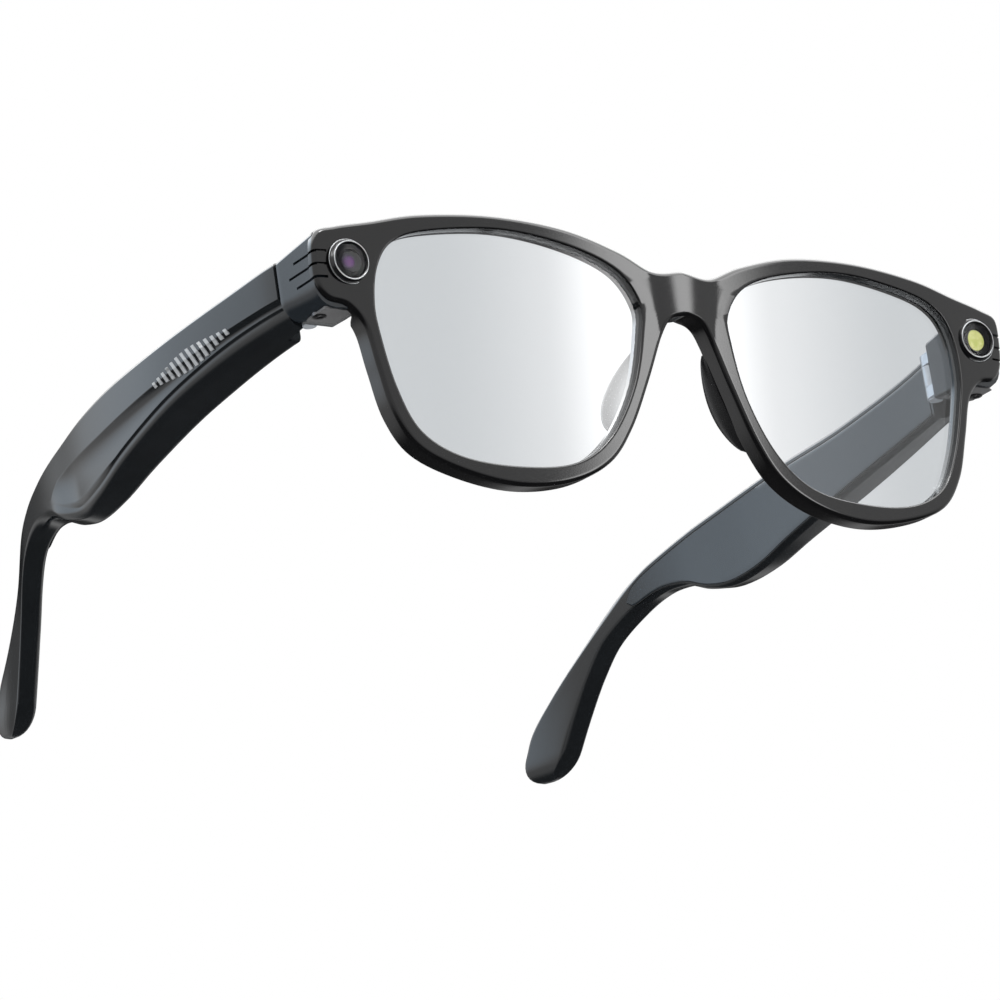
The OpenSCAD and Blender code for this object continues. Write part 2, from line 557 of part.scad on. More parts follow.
// Button in the top wall, held by a flange inside
button_x = outer_x(button_y) - 4.6;
button_floor = top_z(button_y) - edge_wall;
module one_button() union() {
    translate([button_x - button_width / 2, button_y - button_length / 2, button_floor - 0.6])
        cube([button_width, button_length, edge_wall + 0.6 + button_height]);
    translate([button_x - button_width / 2 - 0.5, button_y - button_length / 2 - 0.7, button_floor - 0.75])
        cube([button_width + 1, button_length + 1.4, 0.6]);
}
module capture_button() color([0.2, 0.22, 0.24]) place() right() one_button();
module power_button() color([0.2, 0.22, 0.24]) place() one_button();
module one_switch() translate([button_x - 1.1, button_y - 1.6, button_floor - 0.75 - button_travel - 1.45])
    union() { cube([2.2, 3.2, 1]); translate([1.1, 1.6, 0.9]) cylinder(d = 1.2, h = 0.5); }
module capture_switch() color([0.6, 0.6, 0.6]) place() right() one_switch();
module power_switch() color([0.6, 0.6, 0.6]) place() one_switch();

front_frame();
brow_cover();
front_flex_cable();
lens_right();
lens_left();
nose_pad_right();
nose_pad_left();
camera_bezel();
camera_cover_glass();
camera_lens_element();
camera_barrel();
camera_board();
flash_bezel();
flash_cover_glass();
flash_led();
flash_board();
end_block_right();
end_block_left();
end_cover_right();
end_cover_left();
end_cover_screws();
front_hinge_leaf_right();
front_hinge_leaf_left();
hinge_pin_right();
hinge_pin_left();
temple_shell_right();
temple_cover_right();
temple_hinge_leaf_right();
battery_right();
main_board();
board_shield();
speaker_right();
speaker_mesh_right();
microphone_right();
touch_sensor_right();
touch_bars_right();
capture_switch();
capture_button();
charging_contacts();
temple_shell_left();
temple_cover_left();
temple_hinge_leaf_left();
battery_left();
left_board();
speaker_left();
speaker_mesh_left();
microphone_left();
touch_sensor_left();
touch_bars_left();
power_switch();
power_button();
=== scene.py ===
import bpy, bmesh, json, math
from mathutils import Matrix, Vector

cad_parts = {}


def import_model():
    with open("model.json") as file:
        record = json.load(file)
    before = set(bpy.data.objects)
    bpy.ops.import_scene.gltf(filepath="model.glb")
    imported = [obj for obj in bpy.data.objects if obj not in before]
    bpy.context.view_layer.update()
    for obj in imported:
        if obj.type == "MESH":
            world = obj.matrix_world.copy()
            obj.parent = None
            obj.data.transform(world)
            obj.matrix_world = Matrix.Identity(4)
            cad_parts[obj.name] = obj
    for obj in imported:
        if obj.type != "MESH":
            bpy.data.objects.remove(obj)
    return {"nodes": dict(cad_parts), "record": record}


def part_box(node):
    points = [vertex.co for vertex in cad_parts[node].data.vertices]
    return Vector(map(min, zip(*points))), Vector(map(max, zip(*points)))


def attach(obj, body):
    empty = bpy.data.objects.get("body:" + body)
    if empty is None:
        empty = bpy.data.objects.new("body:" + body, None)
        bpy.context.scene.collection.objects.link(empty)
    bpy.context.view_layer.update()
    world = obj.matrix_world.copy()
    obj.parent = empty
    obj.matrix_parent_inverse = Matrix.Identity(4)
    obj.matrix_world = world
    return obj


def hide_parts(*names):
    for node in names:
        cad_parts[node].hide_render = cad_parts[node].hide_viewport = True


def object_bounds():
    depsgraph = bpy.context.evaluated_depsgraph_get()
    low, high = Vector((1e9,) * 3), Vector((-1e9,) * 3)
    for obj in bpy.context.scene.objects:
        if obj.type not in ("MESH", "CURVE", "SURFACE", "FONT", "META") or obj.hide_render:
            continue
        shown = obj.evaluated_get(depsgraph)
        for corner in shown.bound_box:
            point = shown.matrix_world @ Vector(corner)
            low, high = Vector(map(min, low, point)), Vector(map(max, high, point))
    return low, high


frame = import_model()
CAD_BOX = [list(v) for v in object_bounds()]
scene = bpy.context.scene

# the footprint's middle, in millimetres behind the lens centres' own zero; the bridge
# stands 2.225 mm in front of that zero
MID = -CAD_BOX[0][1] * 1000 - 2.225

# ---------------------------------------------------------------- camera
def camera():
    """stands in front of the wearer's right side and below, turned a little"""
    az, el, roll = math.radians(-35.28), math.radians(-22.09), math.radians(-8.755)
    back = Vector((math.sin(az) * math.cos(el), -math.cos(az) * math.cos(el), math.sin(el)))
    r = (-back).cross(Vector((0, 0, 1))).normalized(); u = r.cross(-back)
    right = math.cos(roll) * r + math.sin(roll) * u
    up = -math.sin(roll) * r + math.cos(roll) * u
    cam = bpy.data.objects.new("camera", bpy.data.cameras.new("camera"))
    scene.collection.objects.link(cam)
    m = Matrix((right, up, back)).transposed().to_4x4()
    target, distance = Vector((-0.0445, -MID / 1000, -0.0060)), 1.273
    m.translation = target + back * distance
    cam.matrix_world = m
    cam.data.lens = 271.1; cam.data.sensor_width = 36
    cam.data.clip_start, cam.data.clip_end = 0.01, 50
    scene.camera = cam
camera()

# ------------------------------------------------- shared sizes, millimetres
WRAP, TILT, RIM = 510.0, math.radians(7), 4.1       # bend, tilt and depth of the front
EYE = 26.5 * math.cos(TILT) - 1.27 * math.sin(TILT)  # height of the lens centres
SEAM = 14.5                                          # end block to temple
SLANT = math.tan(math.radians(9))                    # underside of a temple
RING_X, RING_Z = 66.0, 10.8                          # camera and light
BLOCK_INNER = 63.2                                   # inner side of an end block
GROOVES = ((13, 9.8), (10.7, 11.4), (8.4, 9.8))      # height and rear end of each groove
HOLLOW, HOLLOW_POWER, LIP_IN = 1.05, 3.2, 0.45       # depth, curve and lower lip of the hollow
BUTTON_Y, SPEAKER_Y = 26.6, 62                       # stations on a temple
MESH_SLOTS, SLOT_PITCH = 6, 1.65
BARS, BAR_FIRST, BAR_SPAN = 14, 51.4, 22.6

half_front = [(0, 15), (6, 14.5), (13, 17.5), (24, 20.5), (38, 21.5), (52, 20.5), (61.5, 18.5),
    (68, 17.2), (71.8, 15.8), (72.5, 11), (72, 6.5), (70, 4), (66.5, 3), (63.6, -0.6), (61.8, -7.6),
    (59.4, -15.8), (54.9, -21.9), (46.2, -25.5), (36, -27), (25.8, -25.5), (17.8, -21.3), (12.8, -14.7),
    (8.5, -5.5), (5, 3), (3, 6), (0, 7)]
lens_points = [(37, 19), (51, 17.5), (57.5, 15), (60.5, 10.5), (61.5, 4.5), (61, -1), (58.5, -11),
    (54.5, -18.5), (47, -22.5), (36, -23.5), (25, -22), (17.5, -16.5), (12, -7), (9.5, 3),
    (9.5, 8.5), (14, 14), (24, 17.5)]
# which place on the lens opening goes with each point of the outer edge
lens_match = [14.6, 14.8, 15.1, 16, 17, 18, 19, 19.4, 19.7, 20.2, 20.7, 21, 21.3, 22, 22.7, 23.6,
    24.2, 25.1, 26, 26.95, 27.7, 28.4, 29.3, 30.2, 30.6, 30.8]
top_points = [(13.3, 15.5), (30, 14.8), (50, 14.8), (68, 15.5), (80, 15.4), (90, 14.8), (98, 14.2),
    (105, 13.2), (112, 11.6), (119, 8.6), (128, 1.8), (138, -5.3), (144.2, -9.8), (147.2, -13.7)]
low_points = [(13.3, 4.3), (30, 4.3), (50, 3.5), (68, 1.7), (79, 0), (88, 0), (95, 2), (101, 5),
    (108, 6.2), (115, 5), (122, 1.4), (127, -4), (131.5, -10.2), (135.4, -16)]
plan_points = [(13.3, 73.4), (20, 74.7), (35, 76.5), (50, 77.2), (65, 76.5), (80, 75), (92, 73.2),
    (104, 71.1), (116, 68.1), (128, 63.8), (140, 60.9), (152, 59.4)]
thick_points = [(13.3, 0.93), (20, 0.96), (35, 0.99), (50, 1), (65, 0.93), (80, 0.8), (92, 0.7),
    (104, 0.6), (116, 0.53), (128, 0.49), (140, 0.47), (152, 0.46)]

# -------------------------------------------------------------- curve tools
def cr(a, b, c, d, t):
    """smooth curve from b to c with a and d as neighbours"""
    return tuple(0.5 * (2 * q + (r - p) * t + (2 * p - 5 * q + 4 * r - s) * t * t
        + (3 * q - p - 3 * r + s) * t ** 3) for p, q, r, s in zip(a, b, c, d))

def on_path(p, t):
    """point at parameter t of the open curve through p"""
    i = min(max(int(t), 0), len(p) - 2)
    a = p[i - 1] if i > 0 else tuple(2 * x - y for x, y in zip(p[0], p[1]))
    d = p[i + 2] if i + 2 < len(p) else tuple(2 * x - y for x, y in zip(p[-1], p[-2]))
    return cr(a, p[i], p[i + 1], d, t - i)

def on_loop(p, t):
    """point at parameter t of the closed curve through p"""
    m = len(p); i = int(math.floor(t)); f = t - i
    return cr(p[(i - 1) % m], p[i % m], p[(i + 1) % m], p[(i + 2) % m], f)

def path(p, n):
    """the open curve through p in n steps a span"""
    return [on_path(p, i / n) for i in range((len(p) - 1) * n + 1)]

def table(p, x):
    """value at x of a list of (x, value)"""
    if x <= p[0][0]: return p[0][1] + (x - p[0][0]) * (p[1][1] - p[0][1]) / (p[1][0] - p[0][0])
    for a, b in zip(p, p[1:]):
        if x <= b[0]: return a[1] + (x - a[0]) * (b[1] - a[1]) / (b[0] - a[0])
    a, b = p[-2], p[-1]
    return b[1] + (x - b[0]) * (b[1] - a[1]) / (b[0] - a[0])

PLAN = path(plan_points, 8); THICK = path(thick_points, 8)
def outer_x(y): return table(PLAN, y)
def thick(y):
    """thickness of a temple, a little less near the hinge"""
    return 9.0 * table(THICK, y) - 0.8 * (1 - smooth((y - 14) / 30))
def smooth(t): t = min(max(t, 0), 1); return t * t * (3 - 2 * t)
def mix(a, b, t): return tuple(x + (y - x) * t for x, y in zip(a, b))
def unit(a): n = math.hypot(*a) or 1; return tuple(x / n for x in a)
def normals(p, ends=None):
    """outward normals of a clockwise outline; ends fixes the tangents of an open one"""
    out = []
    for i in range(len(p)):
        if ends and i == 0: t = ends[0]
        elif ends and i == len(p) - 1: t = ends[1]
        else: t = unit((p[(i + 1) % len(p)][0] - p[i - 1][0], p[(i + 1) % len(p)][1] - p[i - 1][1]))
        out.append((-t[1], t[0]))
    return out
def shift(p, n, d): return (p[0] + n[0] * d, p[1] + n[1] * d)

# --------------------------------------------------------------- mesh tools
def P(x, y, z):
    """millimetres from the lens centres to the shared frame"""
    return Vector((x, y - MID, z + EYE)) / 1000

def F(x, z, d):
    """place on the bent and tilted front, d behind its surface"""
    y = WRAP - math.sqrt((WRAP - d) ** 2 - x * x)
    return P(x, y * math.cos(TILT) - z * math.sin(TILT), y * math.sin(TILT) + z * math.cos(TILT))

def obj(name, verts, faces, mat=None, angle=35, weighted=True):
    me = bpy.data.meshes.new(name)
    me.from_pydata([tuple(v) for v in verts], [], faces)
    o = bpy.data.objects.new(name, me); scene.collection.objects.link(o)
    bm = bmesh.new(); bm.from_mesh(me)
    bmesh.ops.remove_doubles(bm, verts=bm.verts, dist=1e-6)
    bmesh.ops.dissolve_degenerate(bm, edges=bm.edges, dist=1e-7)
    bmesh.ops.recalc_face_normals(bm, faces=bm.faces)
    bm.to_mesh(me); bm.free()
    finish_mesh(o, mat, angle, weighted)
    return o

def finish_mesh(o, mat=None, angle=35, weighted=True):
    me = o.data
    me.shade_smooth(); me.set_sharp_from_angle(angle=math.radians(angle))
    if mat: me.materials.clear(); me.materials.append(mat)
    if weighted:
        m = o.modifiers.new("w", "WEIGHTED_NORMAL"); m.keep_sharp = True; m.weight = 60

def mirrored(o, name, mat=None):
    me = o.data.copy(); me.name = name
    q = bpy.data.objects.new(name, me); scene.collection.objects.link(q)
    bm = bmesh.new(); bm.from_mesh(me)
    for v in bm.verts: v.co.x = -v.co.x
    bmesh.ops.reverse_faces(bm, faces=bm.faces)
    bm.to_mesh(me); bm.free()
    finish_mesh(q, mat or o.data.materials[0])
    return q

def grid(rows, closed=False, base=0):
    """faces between rows of equal length; closed joins the ends of each row"""
    n = len(rows[0]); verts = [v for r in rows for v in r]; faces = []
    for i in range(len(rows) - 1):
        for j in range(n if closed else n - 1):
            k = (j + 1) % n
            faces.append((base + i * n + j, base + i * n + k, base + (i + 1) * n + k, base + (i + 1) * n + j))
    return verts, faces

def cut(o, cutters):
    """takes the cutters out of o for good"""
    for c in cutters:
        m = o.modifiers.new("c", "BOOLEAN"); m.operation = "DIFFERENCE"; m.solver = "EXACT"; m.object = c
    bpy.context.view_layer.update()
    dg = bpy.context.evaluated_depsgraph_get()
    me = bpy.data.meshes.new_from_object(o.evaluated_get(dg), depsgraph=dg)
    o.modifiers.clear(); o.data = me
    for c in cutters: bpy.data.objects.remove(c)

def rounded(w, h, r, n=5):
    """corners of a rounded rectangle, centred"""
    out = []
    for cx, cy, a in ((w - r, h - r, 0), (r - w, h - r, 90), (r - w, r - h, 180), (w - r, r - h, 270)):
        for k in range(n + 1):
            t = math.radians(a + 90 * k / n); out.append((cx + r * math.cos(t), cy + r * math.sin(t)))
    return out

# ---------------------------------------------------------------- materials
def material(name, color, rough, metal=0.0, scale=900, var=0.12, bump=0.02, coat=0.0, rvar=0.05, spec=0.5):
    """moulded or machined surface: cloudy colour, fine grain in gloss and relief"""
    m = bpy.data.materials.new(name); m.use_nodes = True
    t = m.node_tree; t.nodes.clear(); n, l = t.nodes.new, t.links.new
    out = n("ShaderNodeOutputMaterial"); b = n("ShaderNodeBsdfPrincipled"); l(b.outputs[0], out.inputs[0])
    tc = n("ShaderNodeTexCoord")
    big = n("ShaderNodeTexNoise")
    big.inputs["Scale"].default_value = scale * 0.12; big.inputs["Detail"].default_value = 3
    fine = n("ShaderNodeTexNoise")
    fine.inputs["Scale"].default_value = scale * 4; fine.inputs["Detail"].default_value = 2
    l(tc.outputs["Object"], big.inputs["Vector"]); l(tc.outputs["Object"], fine.inputs["Vector"])
    ramp = n("ShaderNodeValToRGB"); e = ramp.color_ramp.elements
    e[0].position, e[1].position = 0.3, 0.7
    e[0].color = tuple(c * (1 - var) for c in color) + (1,)
    e[1].color = tuple(min(1, c * (1 + var)) for c in color) + (1,)
    l(big.outputs[0], ramp.inputs[0]); l(ramp.outputs[0], b.inputs["Base Color"])
    mr = n("ShaderNodeMapRange")
    mr.inputs[3].default_value = max(0.01, rough - rvar); mr.inputs[4].default_value = rough + rvar
    l(fine.outputs[0], mr.inputs[0]); l(mr.outputs[0], b.inputs["Roughness"])
    bp = n("ShaderNodeBump")
    bp.inputs["Strength"].default_value = bump; bp.inputs["Distance"].default_value = 0.0002
    l(fine.outputs[0], bp.inputs["Height"]); l(bp.outputs[0], b.inputs["Normal"])
    b.inputs["Metallic"].default_value = metal
    b.inputs["Specular IOR Level"].default_value = spec
    b.inputs["Coat Weight"].default_value = coat
    b.inputs["Coat Roughness"].default_value = 0.03
    return m

M = {
    "frame_plastic": material("frame_plastic", (0.004, 0.004, 0.0045), 0.09, bump=0.01, spec=0.5),
    "trim_plastic": material("trim_plastic", (0.10, 0.10, 0.103), 0.35, bump=0.05),
    "pad_rubber": material("pad_rubber", (0.008, 0.008, 0.009), 0.28, bump=0.04),
    "ring_metal": material("ring_metal", (0.006, 0.006, 0.007), 0.18, bump=0.01),
    "ring_edge": material("ring_edge", (0.34, 0.35, 0.36), 0.28, metal=0.55, bump=0.01),
    "block_plastic": material("block_plastic", (0.012, 0.0155, 0.0195), 0.12, bump=0.012),
    "temple_plastic": material("temple_plastic", (0.008, 0.0095, 0.011), 0.11, bump=0.012),
    "cover_plastic": material("cover_plastic", (0.010, 0.017, 0.024), 0.18, bump=0.02),
    "hinge_steel": material("hinge_steel", (0.66, 0.70, 0.75), 0.25, metal=0.45, bump=0.03),
    "screw_steel": material("screw_steel", (0.1, 0.1, 0.105), 0.3, metal=1, bump=0.03),
    "flex_copper": material("flex_copper", (0.55, 0.26, 0.08), 0.4, metal=0.4),
    "barrel_black": material("barrel_black", (0.002, 0.002, 0.0025), 0.45, spec=0.12),
    "circuit_board": material("circuit_board", (0.01, 0.09, 0.04), 0.45, bump=0.1),
    "battery_foil": material("battery_foil", (0.55, 0.56, 0.58), 0.35, metal=0.8, bump=0.15),
    "shield_tin": material("shield_tin", (0.6, 0.6, 0.6), 0.3, metal=1),
    "speaker_black": material("speaker_black", (0.015, 0.015, 0.016), 0.5, bump=0.1),
    "mesh_steel": material("mesh_steel", (0.08, 0.08, 0.085), 0.35, metal=0.9),
    "bar_print": material("bar_print", (0.33, 0.345, 0.36), 0.5, var=0.05, bump=0.03),
    "switch_body": material("switch_body", (0.3, 0.3, 0.31), 0.35, metal=0.5),
    "button_plastic": material("button_plastic", (0.01, 0.013, 0.017), 0.25, bump=0.03),
    "contact_gold": material("contact_gold", (0.85, 0.6, 0.25), 0.25, metal=1),
}

def glass(name, tint, ior, fade=False):
    """clear sheet that bends and tints the light; fade lightens it towards the nose as a painted reflection"""
    m = bpy.data.materials.new(name); m.use_nodes = True
    t = m.node_tree; n, l = t.nodes.new, t.links.new; b = t.nodes["Principled BSDF"]
    tc = n("ShaderNodeTexCoord"); no = n("ShaderNodeTexNoise"); no.inputs["Scale"].default_value = 30
    l(tc.outputs["Object"], no.inputs["Vector"])
    ramp = n("ShaderNodeValToRGB"); e = ramp.color_ramp.elements
    e[0].position, e[1].position = 0.35, 0.65
    e[0].color = tuple(c * 0.99 for c in tint) + (1,)
    e[1].color = tuple(min(1, c * 1.01) for c in tint) + (1,)
    # painted reflection: the tint grows lighter towards the nose to stand in for the bright reflection there
    if fade:
        sx = n("ShaderNodeSeparateXYZ"); l(tc.outputs["Object"], sx.inputs[0])
        ab = n("ShaderNodeMath"); ab.operation = "ABSOLUTE"; l(sx.outputs[0], ab.inputs[0])
        add = n("ShaderNodeMath"); add.operation = "MULTIPLY_ADD"
        l(no.outputs[0], add.inputs[0]); add.inputs[1].default_value = 0.002
        l(ab.outputs[0], add.inputs[2])
        mr = n("ShaderNodeMapRange"); mr.interpolation_type = "SMOOTHSTEP"; l(add.outputs[0], mr.inputs[0])
        mr.inputs[1].default_value, mr.inputs[2].default_value = 0.010, 0.052
        l(mr.outputs[0], ramp.inputs[0]); e[0].position, e[1].position = 0.0, 1.0
        e[0].color = (0.86, 0.875, 0.89, 1); e[1].color = tuple(tint) + (1,)
    else: l(no.outputs[0], ramp.inputs[0])
    l(ramp.outputs[0], b.inputs["Base Color"])
    mr = n("ShaderNodeMapRange"); mr.inputs[3].default_value = 0.0; mr.inputs[4].default_value = 0.008
    l(no.outputs[0], mr.inputs[0]); l(mr.outputs[0], b.inputs["Roughness"])
    bp = n("ShaderNodeBump")
    bp.inputs["Strength"].default_value = 0.001; bp.inputs["Distance"].default_value = 0.0002
    l(no.outputs[0], bp.inputs["Height"]); l(bp.outputs[0], b.inputs["Normal"])
    b.inputs["Transmission Weight"].default_value = 1
    b.inputs["IOR"].default_value = ior
    return m

# lens_clear carries the painted reflection, lighter towards the nose
M["lens_clear"] = glass("lens_clear", (0.58, 0.605, 0.625), 1.5, True)
M["cover_glass"] = glass("cover_glass", (0.8, 0.8, 0.84), 1.16)

# -------------------------------------------------------------------- front
def hump(x, z):
    """the bridge bulges forward between two slanted soft creases"""
    w = 5.6 + (z - 4) * 0.12
    return -0.42 * max(0.0, 1 - (x / w) ** 2) if abs(x) < w else 0.0

def end_depth(x, z):
    """the front is thinner over the end blocks"""
    return RIM - 2.2 * smooth((x - 62.5) / 2.5) * smooth((z - 0.5) / 1.6)

def front():
    """the one moulded front, half of it built and then mirrored"""
    N = 8
    outer = path(half_front, N)
    n_out = normals(outer, ((1, 0), (-1, 0)))
    par = [table(list(enumerate(lens_match)), i / N) for i in range(len(outer))]
    seam = 10
    par += [30.8 + 0.8 * k / seam for k in range(1, seam)]
    inner = [on_loop(lens_points, t) for t in par]
    n_in = []
    for t in par:
        a, b = on_loop(lens_points, t - 0.02), on_loop(lens_points, t + 0.02)
        u = unit((b[0] - a[0], b[1] - a[1])); n_in.append((-u[1], u[0]))
    rf, rb, ri, rj = 0.75, 0.3, 0.35, 0.3
    S = 5
    quarter = [math.radians(90 * k / S) for k in range(S + 1)]
    verts, faces = [], []
    def add(rows, closed):
        v, f = grid(rows, closed, len(verts)); verts.extend(v); faces.extend(f)
    # outer fillets and wall: open strip from bridge top to bridge underside
    rows = []
    for a in quarter[::-1]:
        d, y = rf - rf * math.cos(a), rf - rf * math.sin(a)
        rows.append([F(*shift(p, q, -d), y + hump(*p)) for p, q in zip(outer, n_out)])
    for k in (1, 2):
        rows.append([F(*p, rf + (end_depth(*p) - rb - rf) * k / 3) for p in outer])
    for a in quarter:
        d, y = rb - rb * math.cos(a), rb * math.sin(a) - rb
        rows.append([F(*shift(p, q, -d), end_depth(*p) + y) for p, q in zip(outer, n_out)])
    add(rows, False)
    # faces, front and back, as closed rings round the lens opening
    def ring(r_out, r_in):
        edge = [shift(p, q, -r_out) for p, q in zip(outer, n_out)]
        a, b = edge[-1], edge[0]
        edge += [mix(a, b, k / seam) for k in range(1, seam)]
        hole = [shift(p, q, r_in) for p, q in zip(inner, n_in)]
        K = 9
        return [[mix(e, h, k / K) for e, h in zip(edge, hole)] for k in range(K + 1)]
    R1 = ring(rf, ri); add([[F(*p, hump(*p)) for p in r] for r in R1], True)
    R2 = ring(rb, rj); add([[F(*p, end_depth(*p)) for p in r] for r in R2], True)
    # wall of the lens opening
    rows = []
    for a in quarter[::-1]:
        d, y = ri - ri * math.cos(a), ri - ri * math.sin(a)
        rows.append([F(*shift(p, q, d), y + hump(*p)) for p, q in zip(inner, n_in)])
    for a in quarter:
        d, y = rj - rj * math.cos(a), rj * math.sin(a) - rj
        rows.append([F(*shift(p, q, d), end_depth(*p) + y) for p, q in zip(inner, n_in)])
    add(rows, True)
    for v in verts:
        if abs(v.x) < 2e-5: v.x = 0
    k = len(verts)
    verts.extend([Vector((-v.x, v.y, v.z)) for v in verts])
    faces.extend([tuple(i + k for i in reversed(f)) for f in faces[:]])
    o = obj("front_plate", verts, faces, M["frame_plastic"], weighted=False)
    cutters = []
    for s in (1, -1):
        for z, end in GROOVES:
            cutters.append(groove(s, z, end))
    cut(o, cutters)
    finish_mesh(o, M["frame_plastic"], 30)
    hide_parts("front_frame", "brow_cover", "front_flex_cable")
    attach(o, "front")
    return o

def groove(s, z, end):
    """cutter for one groove: along the side of the block, then onto the front"""
    h = 0.24
    # the points with no y lie on the front, only as deep as the groove
    pts = [(71.75, 5.1), (72.05, end - 0.5), (72.45, end - 0.1), (74, end), (74, 0), (69.9, 0),
           (70.0, None), (71.0, None), (71.7, None)]
    out = []
    for x, y in pts:
        if y is None:
            y = (F(x, z, 0).y * 1000 + MID) + 0.38
        out.append((x, y))
    v = [P(s * x, y, z - h) for x, y in out] + [P(s * x, y, z + h) for x, y in out]
    n = len(out)
    f = [tuple(range(n)), tuple(range(2 * n - 1, n - 1, -1))]
    f += [(i, (i + 1) % n, n + (i + 1) % n, n + i) for i in range(n)]
    return obj("cutter", v, f, weighted=False)

front()

# ------------------------------------------------------------------- lenses
def lens():
    """bent sheet with a stepped edge that sits in the groove of the rim"""
    edge = [on_loop(lens_points, i / 6) for i in range(len(lens_points) * 6)]
    n_e = normals(edge)
    c = (36.5, -1.5)
    rows = []
    K = 14
    for k in range(1, K + 1):
        rows.append([F(*mix(c, shift(p, q, 0.35), k / K), 1.25) for p, q in zip(edge, n_e)])
    rows.append([F(*shift(p, q, 0.5), 1.4) for p, q in zip(edge, n_e)])
    rows.append([F(*shift(p, q, 0.5), 2.6) for p, q in zip(edge, n_e)])
    for k in range(K, 0, -1):
        rows.append([F(*mix(c, shift(p, q, 0.35), k / K), 2.75) for p, q in zip(edge, n_e)])
    v, f = grid(rows, True)
    n = len(edge)
    v += [F(*c, 1.25), F(*c, 2.75)]
    a, b = len(v) - 2, len(v) - 1
    for j in range(n):
        f.append((a, (j + 1) % n, j))
        f.append((b, (len(rows) - 1) * n + j, (len(rows) - 1) * n + (j + 1) % n))
    left = obj("lens_sheet_left", v, f, M["lens_clear"])
    right = mirrored(left, "lens_sheet_right")
    for o, s in ((left, "left"), (right, "right")):
        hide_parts("lens_" + s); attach(o, "front")
lens()

# --------------------------------------------------------------- end blocks
BLOCK_TOP = [(-1, 16.9), (4, 16.5), (9, 16), (14.5, 15.4)]
BLOCK_LOW = [(-1, 3.4), (5, 3.4), (10, 3.8), (14.5, 4.3)]
BLOCK_SIDE = [(-2, 72), (3, 72.1), (6, 72.4), (9.5, 72.8), (14.5, 73.4)]
def corner_loop(x0, x1, z0, z1, radii, n=6, inset=0.0):
    """section from low-outer round to low-inner, x1 outer and x0 inner;
    radii outer-low, outer-top, inner-top, inner-low"""
    x0 += inset; x1 -= inset; z0 += inset; z1 -= inset
    out = []
    for cx, cz, sx, sz, r, a in ((x1, z0, -1, 1, radii[0], 270), (x1, z1, -1, -1, radii[1], 0),
                                 (x0, z1, 1, -1, radii[2], 90), (x0, z0, 1, 1, radii[3], 180)):
        r = max(0.05, r - inset)
        for k in range(n + 1):
            t = math.radians(a + 90 * k / n)
            out.append((cx + sx * r + r * math.cos(t), cz + sz * r + r * math.sin(t)))
    return out

def block():
    """end blocks with their cover plates and screws"""
    rows = []
    Y = [0.0, 0.15, 0.3, 0.45, 0.6, 0.75, 0.88, 0.97, 1.0]
    for t in Y:
        y = 3.5 + (SEAM - 3.5) * t
        ring = corner_loop(BLOCK_INNER, table(BLOCK_SIDE, y), table(BLOCK_LOW, y), table(BLOCK_TOP, y),
                           (3.9, 0.7, 0.7, 0.6), inset=0.14 if t == 1 else 0)
        row = []
        for x, z in ring:
            start = F(x, z / math.cos(TILT), 0.9).y * 1000 + MID
            row.append(P(x, start + (SEAM - start) * t, z))
        rows.append(row)
    v, f = grid(rows, True)
    n = len(rows[0]); f.append(tuple(range(n))); f.append(tuple(range((len(rows) - 1) * n, len(rows) * n)))
    o = obj("block_left", v, f, M["block_plastic"], weighted=False)
    cut(o, [groove(1, z, e) for z, e in GROOVES])
    finish_mesh(o, M["block_plastic"], 32)
    q = mirrored(o, "block_right")
    for b, s in ((o, "left"), (q, "right")):
        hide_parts("end_block_" + s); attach(b, "front")
    # cover plate below, with a soft step round its edge
    pts = rounded(2.95, 3.4, 0.7)
    rows = []
    for d, h in ((0.16, 0.8), (0.16, 0.02), (0.05, -0.1), (0.0, -0.1)):
        rows.append([P(67.35 + x * (1 - d / 3), 8.9 + y * (1 - d / 4),
                       table(BLOCK_LOW, 8.9 + y) + h - (0.12 if h < 0 else 0)) for x, y in pts])
    v, f = grid(rows, True); n = len(pts)
    f.append(tuple(range(n))); f.append(tuple(range(3 * n, 4 * n)))
    o = obj("end_plate_left", v, f, M["trim_plastic"])
    q = mirrored(o, "end_plate_right")
    for b, s in ((o, "left"), (q, "right")):
        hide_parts("end_cover_" + s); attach(b, "front")
    # screws with a cross recess
    made = []
    for s in (1, -1):
        rows = []
        for r in (0.0, 0.12, 0.16, 0.3, 0.5, 0.68, 0.75, 0.95, 1.12, 1.22, 1.25, 1.25):
            row = []
            for k in range(48):
                a = 2 * math.pi * k / 48
                x, y = r * math.cos(a), r * math.sin(a)
                deep = 0.28 if (abs(x) < 0.19 and abs(y) < 0.72) or (abs(y) < 0.19 and abs(x) < 0.72) else 0
                z = 3.46 + deep + (0.0 if r < 1.1 else 0.05 if r < 1.25 else 0.1)
                row.append(P(s * (69.2 + x), 9.4 + y, z - 0.08))
            rows.append(row)
        rows[-1] = [v + Vector((0, 0, 0.0006)) for v in rows[-1]]
        v, f = grid(rows, True)
        made.append((v, f))
    v = made[0][0] + made[1][0]; k = len(made[0][0])
    f = made[0][1] + [tuple(i + k for i in q) for q in made[1][1]]
    o = obj("cover_screws", v, f, M["screw_steel"], angle=25)
    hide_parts("end_cover_screws"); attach(o, "front")
block()

# ------------------------------------------------------ camera and light rings
def turned(name, profile, s, mat, n=72):
    """turns (radius, height in front of the surface) about the axis of the camera or the light"""
    x = s * RING_X
    o = F(x, RING_Z, 0); a = F(x, RING_Z, 1)
    axis = (o - a).normalized()
    u = axis.cross(Vector((0, 0, 1))).normalized(); w = u.cross(axis)
    turn = [2 * math.pi * k / n for k in range(n)]
    rows = [[o + axis * (h / 1000) + (u * math.cos(t) + w * math.sin(t)) * (r / 1000) for t in turn]
            for r, h in profile]
    v, f = grid(rows, True)
    return obj(name, v, f, mat, angle=30)

